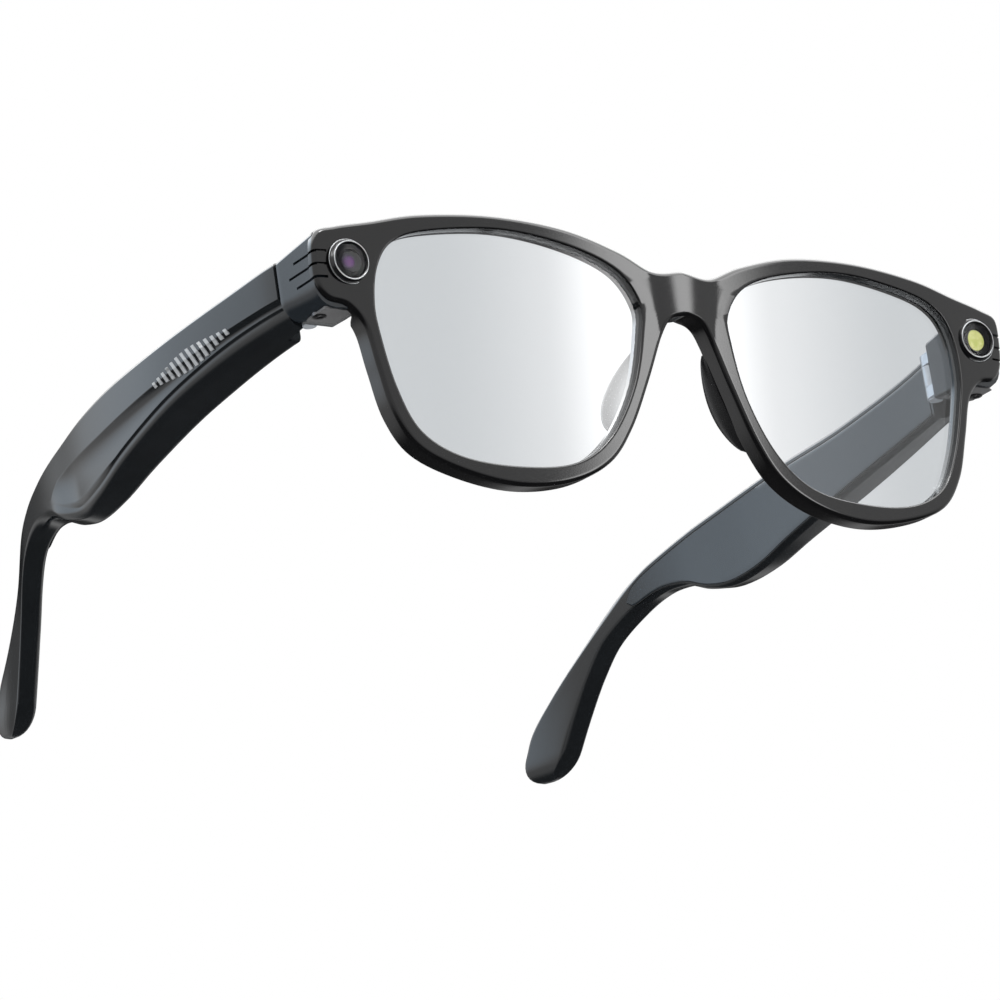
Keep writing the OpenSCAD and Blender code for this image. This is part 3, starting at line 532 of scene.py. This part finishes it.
RING = [(3.0, -0.2), (3.0, 0.55), (3.08, 0.66), (3.2, 0.96), (3.3, 1.0), (3.44, 0.97), (3.54, 0.86),
        (3.62, 0.6), (3.7, 0.32), (3.76, 0.22), (3.92, 0.2), (3.99, 0.15), (4.0, 0.05), (4.0, -0.25),
        (3.0, -0.25)]
LIP = [(3.3, 0.985), (3.34, 1.01), (3.4, 1.02), (3.46, 1.0), (3.5, 0.94), (3.48, 0.9), (3.3, 0.9)]
FOOT = [(3.93, 0.16), (3.95, 0.215), (3.99, 0.22), (4.03, 0.18), (4.04, 0.05), (3.9, 0.0)]
GLASS = [(0.001, 0.76), (1.4, 0.755), (2.5, 0.74), (2.98, 0.7), (3.05, 0.6), (3.05, 0.5), (0.001, 0.5)]
for s, n in ((-1, "camera"), (1, "flash")):
    o = turned(n + "_ring", RING, s, M["ring_metal"])
    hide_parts(n + "_bezel"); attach(o, "front")
    o = turned(n + "_ring_lip", LIP, s, M["ring_edge"])
    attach(o, "front")
    o = turned(n + "_ring_foot", FOOT, s, M["ring_edge"])
    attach(o, "front")
    o = turned(n + "_glass", GLASS, s, M["cover_glass"])
    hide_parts(n + "_cover_glass"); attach(o, "front")

def coated_lens_painted_glow():
    """a coated lens with painted light: violet is the coating's colour, the bright middle darkening outwards is a
    painted reflection, and it glows though it is no lamp
    """
    m = bpy.data.materials.new("lens_coated"); m.use_nodes = True
    t = m.node_tree; n, l = t.nodes.new, t.links.new; b = t.nodes["Principled BSDF"]
    tc = n("ShaderNodeTexCoord"); mp = n("ShaderNodeMapping")
    mp.inputs["Location"].default_value = (-1, -0.7, -1)
    mp.inputs["Scale"].default_value = (2, 1, 2)
    gr = n("ShaderNodeTexGradient"); gr.gradient_type = "SPHERICAL"
    l(tc.outputs["Generated"], mp.inputs["Vector"]); l(mp.outputs[0], gr.inputs["Vector"])
    no = n("ShaderNodeTexNoise"); no.inputs["Scale"].default_value = 900
    l(tc.outputs["Object"], no.inputs["Vector"])
    # violet ramp: coating colour, brightest in the middle as a painted reflection
    r = n("ShaderNodeValToRGB"); e = r.color_ramp.elements
    e[0].position, e[0].color = 0.1, (0.012, 0.004, 0.022, 1)
    e[1].position, e[1].color = 0.75, (0.42, 0.16, 0.62, 1)
    c = r.color_ramp.elements.new(0.42); c.color = (0.13, 0.03, 0.17, 1)
    l(gr.outputs[1], r.inputs[0]); l(r.outputs[0], b.inputs["Base Color"])
    # painted glow: the lens emits light though it is no lamp
    l(r.outputs[0], b.inputs["Emission Color"]); b.inputs["Emission Strength"].default_value = 0.6
    mr = n("ShaderNodeMapRange"); mr.inputs[3].default_value = 0.02; mr.inputs[4].default_value = 0.06
    l(no.outputs[0], mr.inputs[0]); l(mr.outputs[0], b.inputs["Roughness"])
    bp = n("ShaderNodeBump")
    bp.inputs["Strength"].default_value = 0.01; bp.inputs["Distance"].default_value = 0.0001
    l(no.outputs[0], bp.inputs["Height"]); l(bp.outputs[0], b.inputs["Normal"])
    return m

def phosphor():
    """the light's yellow filling, with small grains"""
    m = bpy.data.materials.new("led_phosphor"); m.use_nodes = True
    t = m.node_tree; n, l = t.nodes.new, t.links.new; b = t.nodes["Principled BSDF"]
    tc = n("ShaderNodeTexCoord"); no = n("ShaderNodeTexVoronoi"); no.inputs["Scale"].default_value = 1400
    r = n("ShaderNodeValToRGB"); e = r.color_ramp.elements
    e[0].color = (0.90, 0.90, 0.36, 1); e[1].color = (0.62, 0.68, 0.14, 1)
    l(tc.outputs["Object"], no.inputs["Vector"]); l(no.outputs[0], r.inputs[0])
    l(r.outputs[0], b.inputs["Base Color"])
    l(r.outputs[0], b.inputs["Emission Color"]); b.inputs["Emission Strength"].default_value = 0.3
    mr = n("ShaderNodeMapRange"); mr.inputs[3].default_value = 0.25; mr.inputs[4].default_value = 0.5
    l(no.outputs[0], mr.inputs[0]); l(mr.outputs[0], b.inputs["Roughness"])
    bp = n("ShaderNodeBump")
    bp.inputs["Strength"].default_value = 0.3; bp.inputs["Distance"].default_value = 0.0002
    l(no.outputs[0], bp.inputs["Height"]); l(bp.outputs[0], b.inputs["Normal"])
    return m
M["lens_coated"] = coated_lens_painted_glow(); M["led_phosphor"] = phosphor()

# piece, side, node it stands for, its slot, its finish and its profile
for name, s, node, slot, finish, profile in (
    ("camera_barrel_steps", -1, "camera_barrel", "barrel_black", "barrel_black",
     [(3.0, 0.4), (2.5, 0.36), (2.3, 0.27), (2.24, 0.18), (2.0, 0.16), (1.94, 0.06), (1.7, 0.03),
      (1.64, -0.1), (1.45, -0.12), (1.45, -0.6), (1.45, -2), (3.0, -2)]),
    ("camera_front_element", -1, "camera_lens_element", "lens_coated", "lens_coated",
     [(0.001, 0.42), (0.3, 0.405), (0.6, 0.35), (0.9, 0.25), (1.15, 0.12), (1.4, -0.06), (1.42, -0.3),
      (0.001, -0.3)]),
    ("flash_dome", 1, "flash_led", "led_phosphor", "led_phosphor",
     [(0.001, 0.36), (0.7, 0.35), (1.3, 0.31), (1.7, 0.22), (1.9, 0.1), (1.92, -0.2), (0.001, -0.2)]),
    ("flash_well", 1, "flash_board", "circuit_board", "barrel_black",
     [(3.0, 0.4), (2.1, 0.24), (2.0, 0.05), (1.98, -0.22), (0.3, -0.3), (0.3, -1.5), (3.0, -1.5)])):
    o = turned(name, profile, s, M[finish])
    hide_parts(node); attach(o, "front")

# ----------------------------------------------------------------- nose pads
def pads():
    """a fin behind each rim, splayed outwards, swept down the side of the nose"""
    n = 26
    rows = []
    sec = [(0.15, -0.5), (-0.1, 0.2), (-0.42, 1.6), (-0.3, 2.8), (0.15, 3.8), (0.9, 4.6), (1.9, 5.1),
           (2.9, 5.2), (3.7, 4.9), (4.0, 4.2), (3.7, 3.3), (3.25, 2.2), (2.9, 1.0), (2.7, -0.5)]
    lean = math.radians(25)
    for i in range(n + 1):
        s = i / n
        L = 18.6 * s
        grow = max(0.0, math.sin(math.pi * s ** 1.15)) ** 0.58
        # down along the nose side of the rim
        cx, cz = 5.0 + math.sin(lean) * L, 1.2 - math.cos(lean) * L
        row = []
        for a, d in [on_path(sec, k / 3) for k in range((len(sec) - 1) * 3 + 1)]:
            a2 = 1.45 + (a - 1.45) * (0.45 + 0.55 * grow)
            d2 = d if d < 0 else d * grow
            x = cx + math.cos(lean) * a2; z = cz + math.sin(lean) * a2
            row.append(F(x, z, RIM + d2))
        rows.append(row)
    v, f = grid(rows, False)
    m = len(rows[0]); f.append(tuple(range(m))); f.append(tuple(range(n * m, (n + 1) * m)))
    for i in range(n): f.append((i * m, (i + 1) * m, (i + 1) * m + m - 1, i * m + m - 1))
    o = obj("pad_left", v, f, M["pad_rubber"], angle=60, weighted=False)
    q = mirrored(o, "pad_right"); q.modifiers.clear()
    for b, s in ((o, "left"), (q, "right")):
        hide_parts("nose_pad_" + s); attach(b, "front")
pads()

# ------------------------------------------------------------------- temples
# the step above the hollow, its floor and its lower lip, as (y, z)
UP = [(13, 8.6), (30, 8.7), (52, 8.5), (75, 8.9), (88, 9.4), (94, 9.2), (97.3, 8.0), (99, 7.0), (105, 8.2), (200, 8)]
MIDL = [(13, 6.6), (28, 5.2), (45, 4.6), (62, 4.2), (74, 3.2), (84, 2.6), (90, 3.0), (95, 4.6),
        (97.5, 5.9), (99, 6.3), (105, 7.6), (200, 7)]
LOWL = [(13, 4.9), (30, 3.4), (42, 2.5), (53, 2.0), (60, 1.5), (70, 0.8), (76, 0.4), (82, 0.6),
        (88, 1.4), (93, 3.0), (97, 5.1), (99, 5.8), (105, 7.0), (200, 6)]
TOPT = [(p[0], p[1]) for p in path(top_points, 4)]
LOWT = [(p[0], p[1]) for p in path(low_points, 4)[:45]]
BOX_FACES = [(0, 1, 3, 2), (4, 6, 7, 5), (0, 4, 5, 1), (2, 3, 7, 6), (0, 2, 6, 4), (1, 5, 7, 3)]
def station(t):
    """top and low points of the temple section at parameter t"""
    return on_path(top_points, t), on_path(low_points, t)

def temple_pt(T, L, a, b, H):
    """a from the low edge to the top, b in from the outer face"""
    k = a / H
    y, z = L[0] + (T[0] - L[0]) * k, L[1] + (T[1] - L[1]) * k
    z -= (1 - min(max(k, 0), 1)) * b * SLANT
    return P(outer_x(y) - b, y, z)

def temple():
    """temple shell: one section after another along the outline, then a round tip"""
    K = 10; rows = []
    n_st = (len(top_points) - 1) * K
    params = [i / K for i in range(n_st + 1)]
    params = [(SEAM + 0.14 - 13.3) / 16.7] + params[1:]
    for t in params:
        T, L = station(t)
        H = math.hypot(T[0] - L[0], T[1] - L[1])
        ym = (T[0] + L[0]) / 2; W = thick(ym)
        tip = smooth((ym - 108) / 12)
        q = min(1.0, H / 7.0)
        # radii: outer-low, outer-top, inner-top, inner-low
        r = [2.6 - 1.0 * smooth((ym - 20) / 40) - 0.7 * tip, 0.7 + 0.25 * tip,
             0.6 + 0.9 * tip, 1.3 + 0.7 * tip]
        r = [min(x * (0.6 + 0.4 * q), W * 0.42, H * 0.36) for x in r]
        # outer face with the long recess
        up, mid, low = table(UP, ym), table(MIDL, ym), table(LOWL, ym)
        fade = smooth((99.5 - ym) / 12) * smooth((ym - 13.4) / 1.4)
        def at(z):
            """place along the section of a height"""
            return (z - L[1]) * H / max(T[1] - L[1], 1e-3) if T[1] - L[1] > 3 else H * 0.5
        a0, a1 = r[0], H - r[1]
        # behind the hollow the three lines spread evenly over the plain face
        plain = [a0 + (a1 - a0) * u for u in (0.35, 0.5, 0.65)]
        lines = (at(low), at(mid), at(up)) if ym < 104 else plain
        g = smooth((ym - 99) / 6)
        z1, z2, z3 = (z * (1 - g) + q0 * g for z, q0 in zip(lines, plain))
        z1 = max(z1, a0 + 0.25); z2 = max(z2, z1 + 0.3); z3 = max(z3, z2 + 0.3)
        D = HOLLOW * fade; B = D + LIP_IN * fade; row = []
        for k in range(7):
            a = math.radians(270 + 90 * k / 6)
            row.append((r[0] + r[0] * math.sin(a), B + r[0] - r[0] * math.cos(a)))
        row += [(a0 + (z1 - a0) * 0.5, D + 0.44 * fade), (z1, D + 0.34 * fade),
                (z1 + (z2 - z1) * 0.35, D + 0.2 * fade),
                (z1 + (z2 - z1) * 0.7, D + 0.07 * fade), (z2 - 0.08, D + 0.01 * fade), (z2 + 0.1, D * 0.985)]
        row += [(z2 + (z3 - z2) * u, D * (1 - u ** HOLLOW_POWER))
                for u in (0.2, 0.38, 0.54, 0.68, 0.8, 0.9, 0.96)]
        row += [(z3, 0.02 * D), (z3 + 0.1, 0.0), (z3 + (a1 - z3) * 0.5, 0.0)]
        for k in range(7):
            a = math.radians(90 * k / 6)
            row.append((H - r[1] + r[1] * math.sin(a), r[1] - r[1] * math.cos(a)))
        for k in range(7):
            a = math.radians(90 * k / 6)
            row.append((H - r[2] + r[2] * math.cos(a), W - r[2] + r[2] * math.sin(a)))
        row += [(r[3] + (H - r[2] - r[3]) * k / 4, W) for k in (3, 2, 1)]
        for k in range(7):
            a = math.radians(90 * k / 6)
            row.append((r[3] - r[3] * math.sin(a), W - r[3] + r[3] * math.cos(a)))
        rows.append([temple_pt(T, L, a, b, H) for a, b in row])
    # rounded tip: shrink towards the middle of the last section while moving on
    T, L = station(params[-1])
    last = rows[-1]; c = sum(last, Vector()) / len(last)
    dirv = (c - sum(rows[-3], Vector()) / len(last)).normalized()
    R = math.hypot(T[0] - L[0], T[1] - L[1]) / 2 * 0.92
    for k in range(1, 10):
        a = math.radians(90 * k / 9)
        rows.append([c + (v - c) * max(math.cos(a), 0.02) ** 0.85 + dirv * (R * math.sin(a) / 1000)
                     for v in last])
    n = len(rows[0])
    v, f = grid(rows, True)
    f.append(tuple(range(n))); f.append(tuple(range((len(rows) - 1) * n, len(rows) * n)))
    left = obj("temple_shell_body_left", v, f, M["temple_plastic"], weighted=False)
    # notch for the hinge, slots for the speaker and a hole for the button
    def boxcut(x0, x1, y0, y1, z0, z1):
        q = [P(x, y, z) for x in (x0, x1) for y in (y0, y1) for z in (z0, z1)]
        return obj("cutter", q, BOX_FACES, weighted=False)
    top = table(TOPT, BUTTON_Y)
    bx = outer_x(BUTTON_Y) - 4.6
    sx = outer_x(SPEAKER_Y) - 6
    first = SPEAKER_Y - 5.5
    cut(left, [boxcut(50, 69.4, 0, 19.6, -20, 30),
               boxcut(bx - 1.45, bx + 1.45, 22.9, 30.3, top - 2.7, top + 3)]
        + [boxcut(sx + 0.5, sx + 2.1, first + 0.9 + i * SLOT_PITCH, first + 1.8 + i * SLOT_PITCH, 13.6, 20)
           for i in range(MESH_SLOTS)])
    finish_mesh(left, M["temple_plastic"], 32)
    right = mirrored(left, "temple_shell_body_right")
    for b, s in ((left, "left"), (right, "right")):
        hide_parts("temple_shell_" + s, "speaker_mesh_" + s)
        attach(b, "temple_" + s)
temple()

def skin_x(y, z):
    """x of the inner face of the shell at a height on it"""
    best = thick(y)
    for i in range(len(SKIN) - 1):
        (a, b, w), (c, d, w2) = SKIN[i], SKIN[i + 1]
        s0 = (a[0] - b[0]) * (z - b[1]) - (a[1] - b[1]) * (y - b[0])
        s1 = (c[0] - d[0]) * (z - d[1]) - (c[1] - d[1]) * (y - d[0])
        if s0 * s1 <= 0 and s0 != s1: best = w + (w2 - w) * s0 / (s0 - s1); break
    return outer_x(y) - best

def cover():
    """inner cover with a dark gap round it and a round rear end"""
    for name, grow, lift, mat in (("gap", 0.26, 0.025, "barrel_black"),
                                  ("panel", 0.0, 0.11, "cover_plastic")):
        rows = []
        n = 90
        for i in range(n + 1):
            y = 20.4 + (116.2 - 20.4) * i / n
            zt = table(TOPT, y) - 1.3
            zl = table(LOWT, y) + 1.1 - thick(y) * SLANT
            e = (116.2 - y) / 3.4
            if e < 1:
                k = math.sqrt(max(0.0, 1 - (1 - e) ** 2)); m = (zt + zl) / 2
                zt, zl = m + (zt - m) * k, m + (zl - m) * k
            zt += grow; zl -= grow
            x = outer_x(y) - thick(y)
            row = []
            m_ = 12
            for k in range(m_ + 1):
                z = zl + (zt - zl) * k / m_
                row.append(P(skin_x(y, z) - lift, y, z))
            b = 0.1 if grow == 0 else 0.0
            lo = P(x + 0.3, y, zl); hi = P(x + 0.3, y, zt)
            xl, xt = skin_x(y, zl), skin_x(y, zt)
            row[0] = P(xl - lift + b, y, zl); row[-1] = P(xt - lift + b, y, zt)
            soft = min(b + 0.02, (zt - zl) * 0.05)
            row.insert(1, P(xl - lift, y, zl + soft)); row.insert(len(row) - 1, P(xt - lift, y, zt - soft))
            row = [lo] + row + [hi]
            rows.append(row)
        v, f = grid(rows, True)
        k = len(rows[0]); f.append(tuple(range(k))); f.append(tuple(range(n * k, (n + 1) * k)))
        left = obj("cover_" + name + "_left", v, f, M[mat], angle=40)
        right = mirrored(left, "cover_" + name + "_right")
        for b, s in ((left, "left"), (right, "right")):
            if name == "panel":
                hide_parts("temple_cover_" + s)
            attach(b, "temple_" + s)
SKIN = []
for i in range(0, 121):
    T, L = station(i / 10); w = thick((T[0] + L[0]) / 2)
    SKIN.append((T, (L[0], L[1] - w * SLANT), w))
cover()

# -------------------------------------------------------------- light bars
def bars():
    """row of bars of rising and falling length"""
    v, f = [], []
    for i in range(BARS):
        y = BAR_FIRST - i * BAR_SPAN / (BARS - 1)
        h = 0.45 + 1.35 * math.sin(math.radians(180 * (i + 0.9) / (BARS + 0.8))) ** 2
        zc = table(UP, y); mid = table(MIDL, y)
        # above the step a bar lies on the face, below it on the hollow
        rows = []
        for dz in [-h * k / 8 for k in range(8, -1, -1)] + [h * k / 2 for k in (1, 2)]:
            d = HOLLOW * (1 - max(0.0, 1 + dz / (zc - mid)) ** HOLLOW_POWER) if dz < 0 else 0.0
            yy = y + 0.62 * dz + 0.98 * d
            rows.append([(outer_x(yy + w) - d + 0.05, yy + w, zc + dz) for w in (-0.42, 0.42)])
        for lo_, hi_ in zip(rows, rows[1:]):
            q = lo_ + hi_
            b = len(v)
            v += [P(*c) for c in q] + [P(c[0] - 0.25, c[1], c[2]) for c in q]
            f += [tuple(b + j for j in g) for g in BOX_FACES]
    left = obj("bar_row_left", v, f, M["bar_print"])
    right = mirrored(left, "bar_row_right")
    for b, s in ((left, "left"), (right, "right")):
        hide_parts("touch_bars_" + s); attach(b, "temple_" + s)
bars()

# ---------------------------------------------------- buttons and small parts
def buttons():
    """button caps over the CAD buttons"""
    lo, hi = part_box("power_button")
    top, floor = hi.z, lo.z
    c = Vector(((lo.x + hi.x) / 2, (lo.y + hi.y) / 2, 0))
    rows = []
    for d, z in ((0.0, floor + 0.0004), (0.0, top - 0.00035), (0.00008, top - 0.00015),
                 (0.00025, top - 0.00003), (0.0005, top), (0.0009, top - 0.00004)):
        rows.append([Vector((c.x + x / 1000 * (1 - d / 0.0013), c.y + y / 1000 * (1 - d / 0.0035), z))
                     for x, y in rounded(1.3, 3.5, 1.0, 6)])
    v, f = grid(rows, True); n = len(rows[0])
    f.append(tuple(range(n))); f.append(tuple(range(5 * n, 6 * n)))
    o = obj("button_cap_left", v, f, M["button_plastic"], angle=50)
    q = mirrored(o, "button_cap_right")
    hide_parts("power_button"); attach(o, "power_button")
    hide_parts("capture_button"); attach(q, "capture_button")
buttons()

# CAD nodes that stay get their finish from the record's slot
slots = {s["node"]: s["material_slot"] for s in frame["record"]["subparts"]}
for name, o in frame["nodes"].items():
    if not o.hide_render:
        o.data.materials.clear(); o.data.materials.append(M[slots[name]])

# ------------------------------------------------------------ light and floor
def studio():
    """even white light and a pale floor"""
    w = bpy.data.worlds.new("studio"); scene.world = w; w.use_nodes = True
    w.node_tree.nodes["Background"].inputs[0].default_value = (1, 1, 1, 1)
    w.node_tree.nodes["Background"].inputs[1].default_value = 1.0
    scene.view_settings.view_transform = "Standard"
    me = bpy.data.meshes.new("floor")
    me.from_pydata([(-3, -3, -0.62), (3, -3, -0.62), (3, 3, -0.62), (-3, 3, -0.62)], [], [(0, 1, 2, 3)])
    fl = bpy.data.objects.new("floor", me); scene.collection.objects.link(fl)
    me.materials.append(material("floor", (0.86, 0.86, 0.86), 0.6, scale=20, var=0.01, bump=0.01))
    fl.visible_glossy = False

def surround():
    """what the shiny parts reflect: a dome that only mirror rays see"""
    bm = bmesh.new(); bmesh.ops.create_uvsphere(bm, u_segments=64, v_segments=32, radius=3)
    me = bpy.data.meshes.new("surround"); bm.to_mesh(me); bm.free()
    o = bpy.data.objects.new("surround", me); scene.collection.objects.link(o)
    m = bpy.data.materials.new("surround"); m.use_nodes = True; me.materials.append(m)
    t = m.node_tree; t.nodes.clear(); n, l = t.nodes.new, t.links.new
    out = n("ShaderNodeOutputMaterial"); em = n("ShaderNodeEmission"); l(em.outputs[0], out.inputs[0])
    tc = n("ShaderNodeTexCoord"); no = n("ShaderNodeVectorMath"); no.operation = "NORMALIZE"
    l(tc.outputs["Object"], no.inputs[0])
    sp = n("ShaderNodeSeparateXYZ"); l(no.outputs[0], sp.inputs[0])
    neg = n("ShaderNodeMath"); neg.operation = "MULTIPLY"
    neg.inputs[1].default_value = -1; l(sp.outputs[1], neg.inputs[0])
    az = n("ShaderNodeMath"); az.operation = "ARCTAN2"
    l(sp.outputs[0], az.inputs[0]); l(neg.outputs[0], az.inputs[1])
    def ramp(src, a, b, lo, hi):
        r = n("ShaderNodeMapRange"); r.interpolation_type = "SMOOTHSTEP"; l(src, r.inputs[0])
        for i, x in enumerate((a, b, lo, hi)): r.inputs[i + 1].default_value = x
        return r.outputs[0]
    def both(kind, a, b):
        r = n("ShaderNodeMath"); r.operation = kind; l(a, r.inputs[0]); l(b, r.inputs[1]); return r.outputs[0]
    def lobe(d, wide, narrow, lo, hi):
        v = Vector(d).normalized(); r = n("ShaderNodeVectorMath"); r.operation = "DOT_PRODUCT"
        l(no.outputs[0], r.inputs[0]); r.inputs[1].default_value = v
        return ramp(r.outputs["Value"], math.cos(math.radians(wide)), math.cos(math.radians(narrow)), lo, hi)
    def strip(a, b, soft, lo, hi):
        """between two azimuths and two heights, with soft edges"""
        a, b, soft = (math.radians(x) for x in (a, b, soft))
        x = both("MULTIPLY", ramp(az.outputs[0], a - soft, a + soft, 0, 1),
                 ramp(az.outputs[0], b - soft, b + soft, 1, 0))
        y = both("MULTIPLY", ramp(sp.outputs[2], lo - 0.05, lo + 0.05, 0, 1),
                 ramp(sp.outputs[2], hi - 0.05, hi + 0.05, 1, 0))
        return both("MULTIPLY", x, y)
    # dark below and straight behind, light from the side, lighter still overhead
    sky = ramp(sp.outputs[2], -0.42, -0.08, 0.05, 0.75)
    sky = both("ADD", sky, ramp(sp.outputs[2], -0.05, 0.15, 0.0, 0.25))
    sky = both("ADD", sky, ramp(sp.outputs[2], 0.42, 0.62, 0.0, 4.5))
    sky = both("MULTIPLY", sky, lobe((0.52, 0.76, 0.36), 36, 20, 1.0, 0.06))
    sky = both("MULTIPLY", sky, lobe((0.08, 0.95, 0.24), 27, 12, 1.0, 0.15))
    sky = both("ADD", sky, lobe((0.05, -0.78, 0.62), 6, 4, 0.0, 30.0))
    side = lobe((-0.58, 0.70, 0.42), 26, 5, 0.0, 0.8)
    sky = both("ADD", sky, side)
    box = strip(28, 37, 2.0, -0.1, 0.5)
    gain = n("ShaderNodeMath"); gain.operation = "MULTIPLY"
    gain.inputs[1].default_value = 6.5; l(box, gain.inputs[0])
    sky = both("ADD", sky, gain.outputs[0])
    l(sky, em.inputs["Strength"])
    tone = n("ShaderNodeValToRGB"); l(side, tone.inputs[0]); e = tone.color_ramp.elements
    e[0].color, e[1].color = (1, 1, 1, 1), (0.82, 0.95, 1.08, 1)
    l(tone.outputs[0], em.inputs["Color"])
    o.visible_camera = o.visible_diffuse = o.visible_transmission = o.visible_shadow = False

studio()
surround()
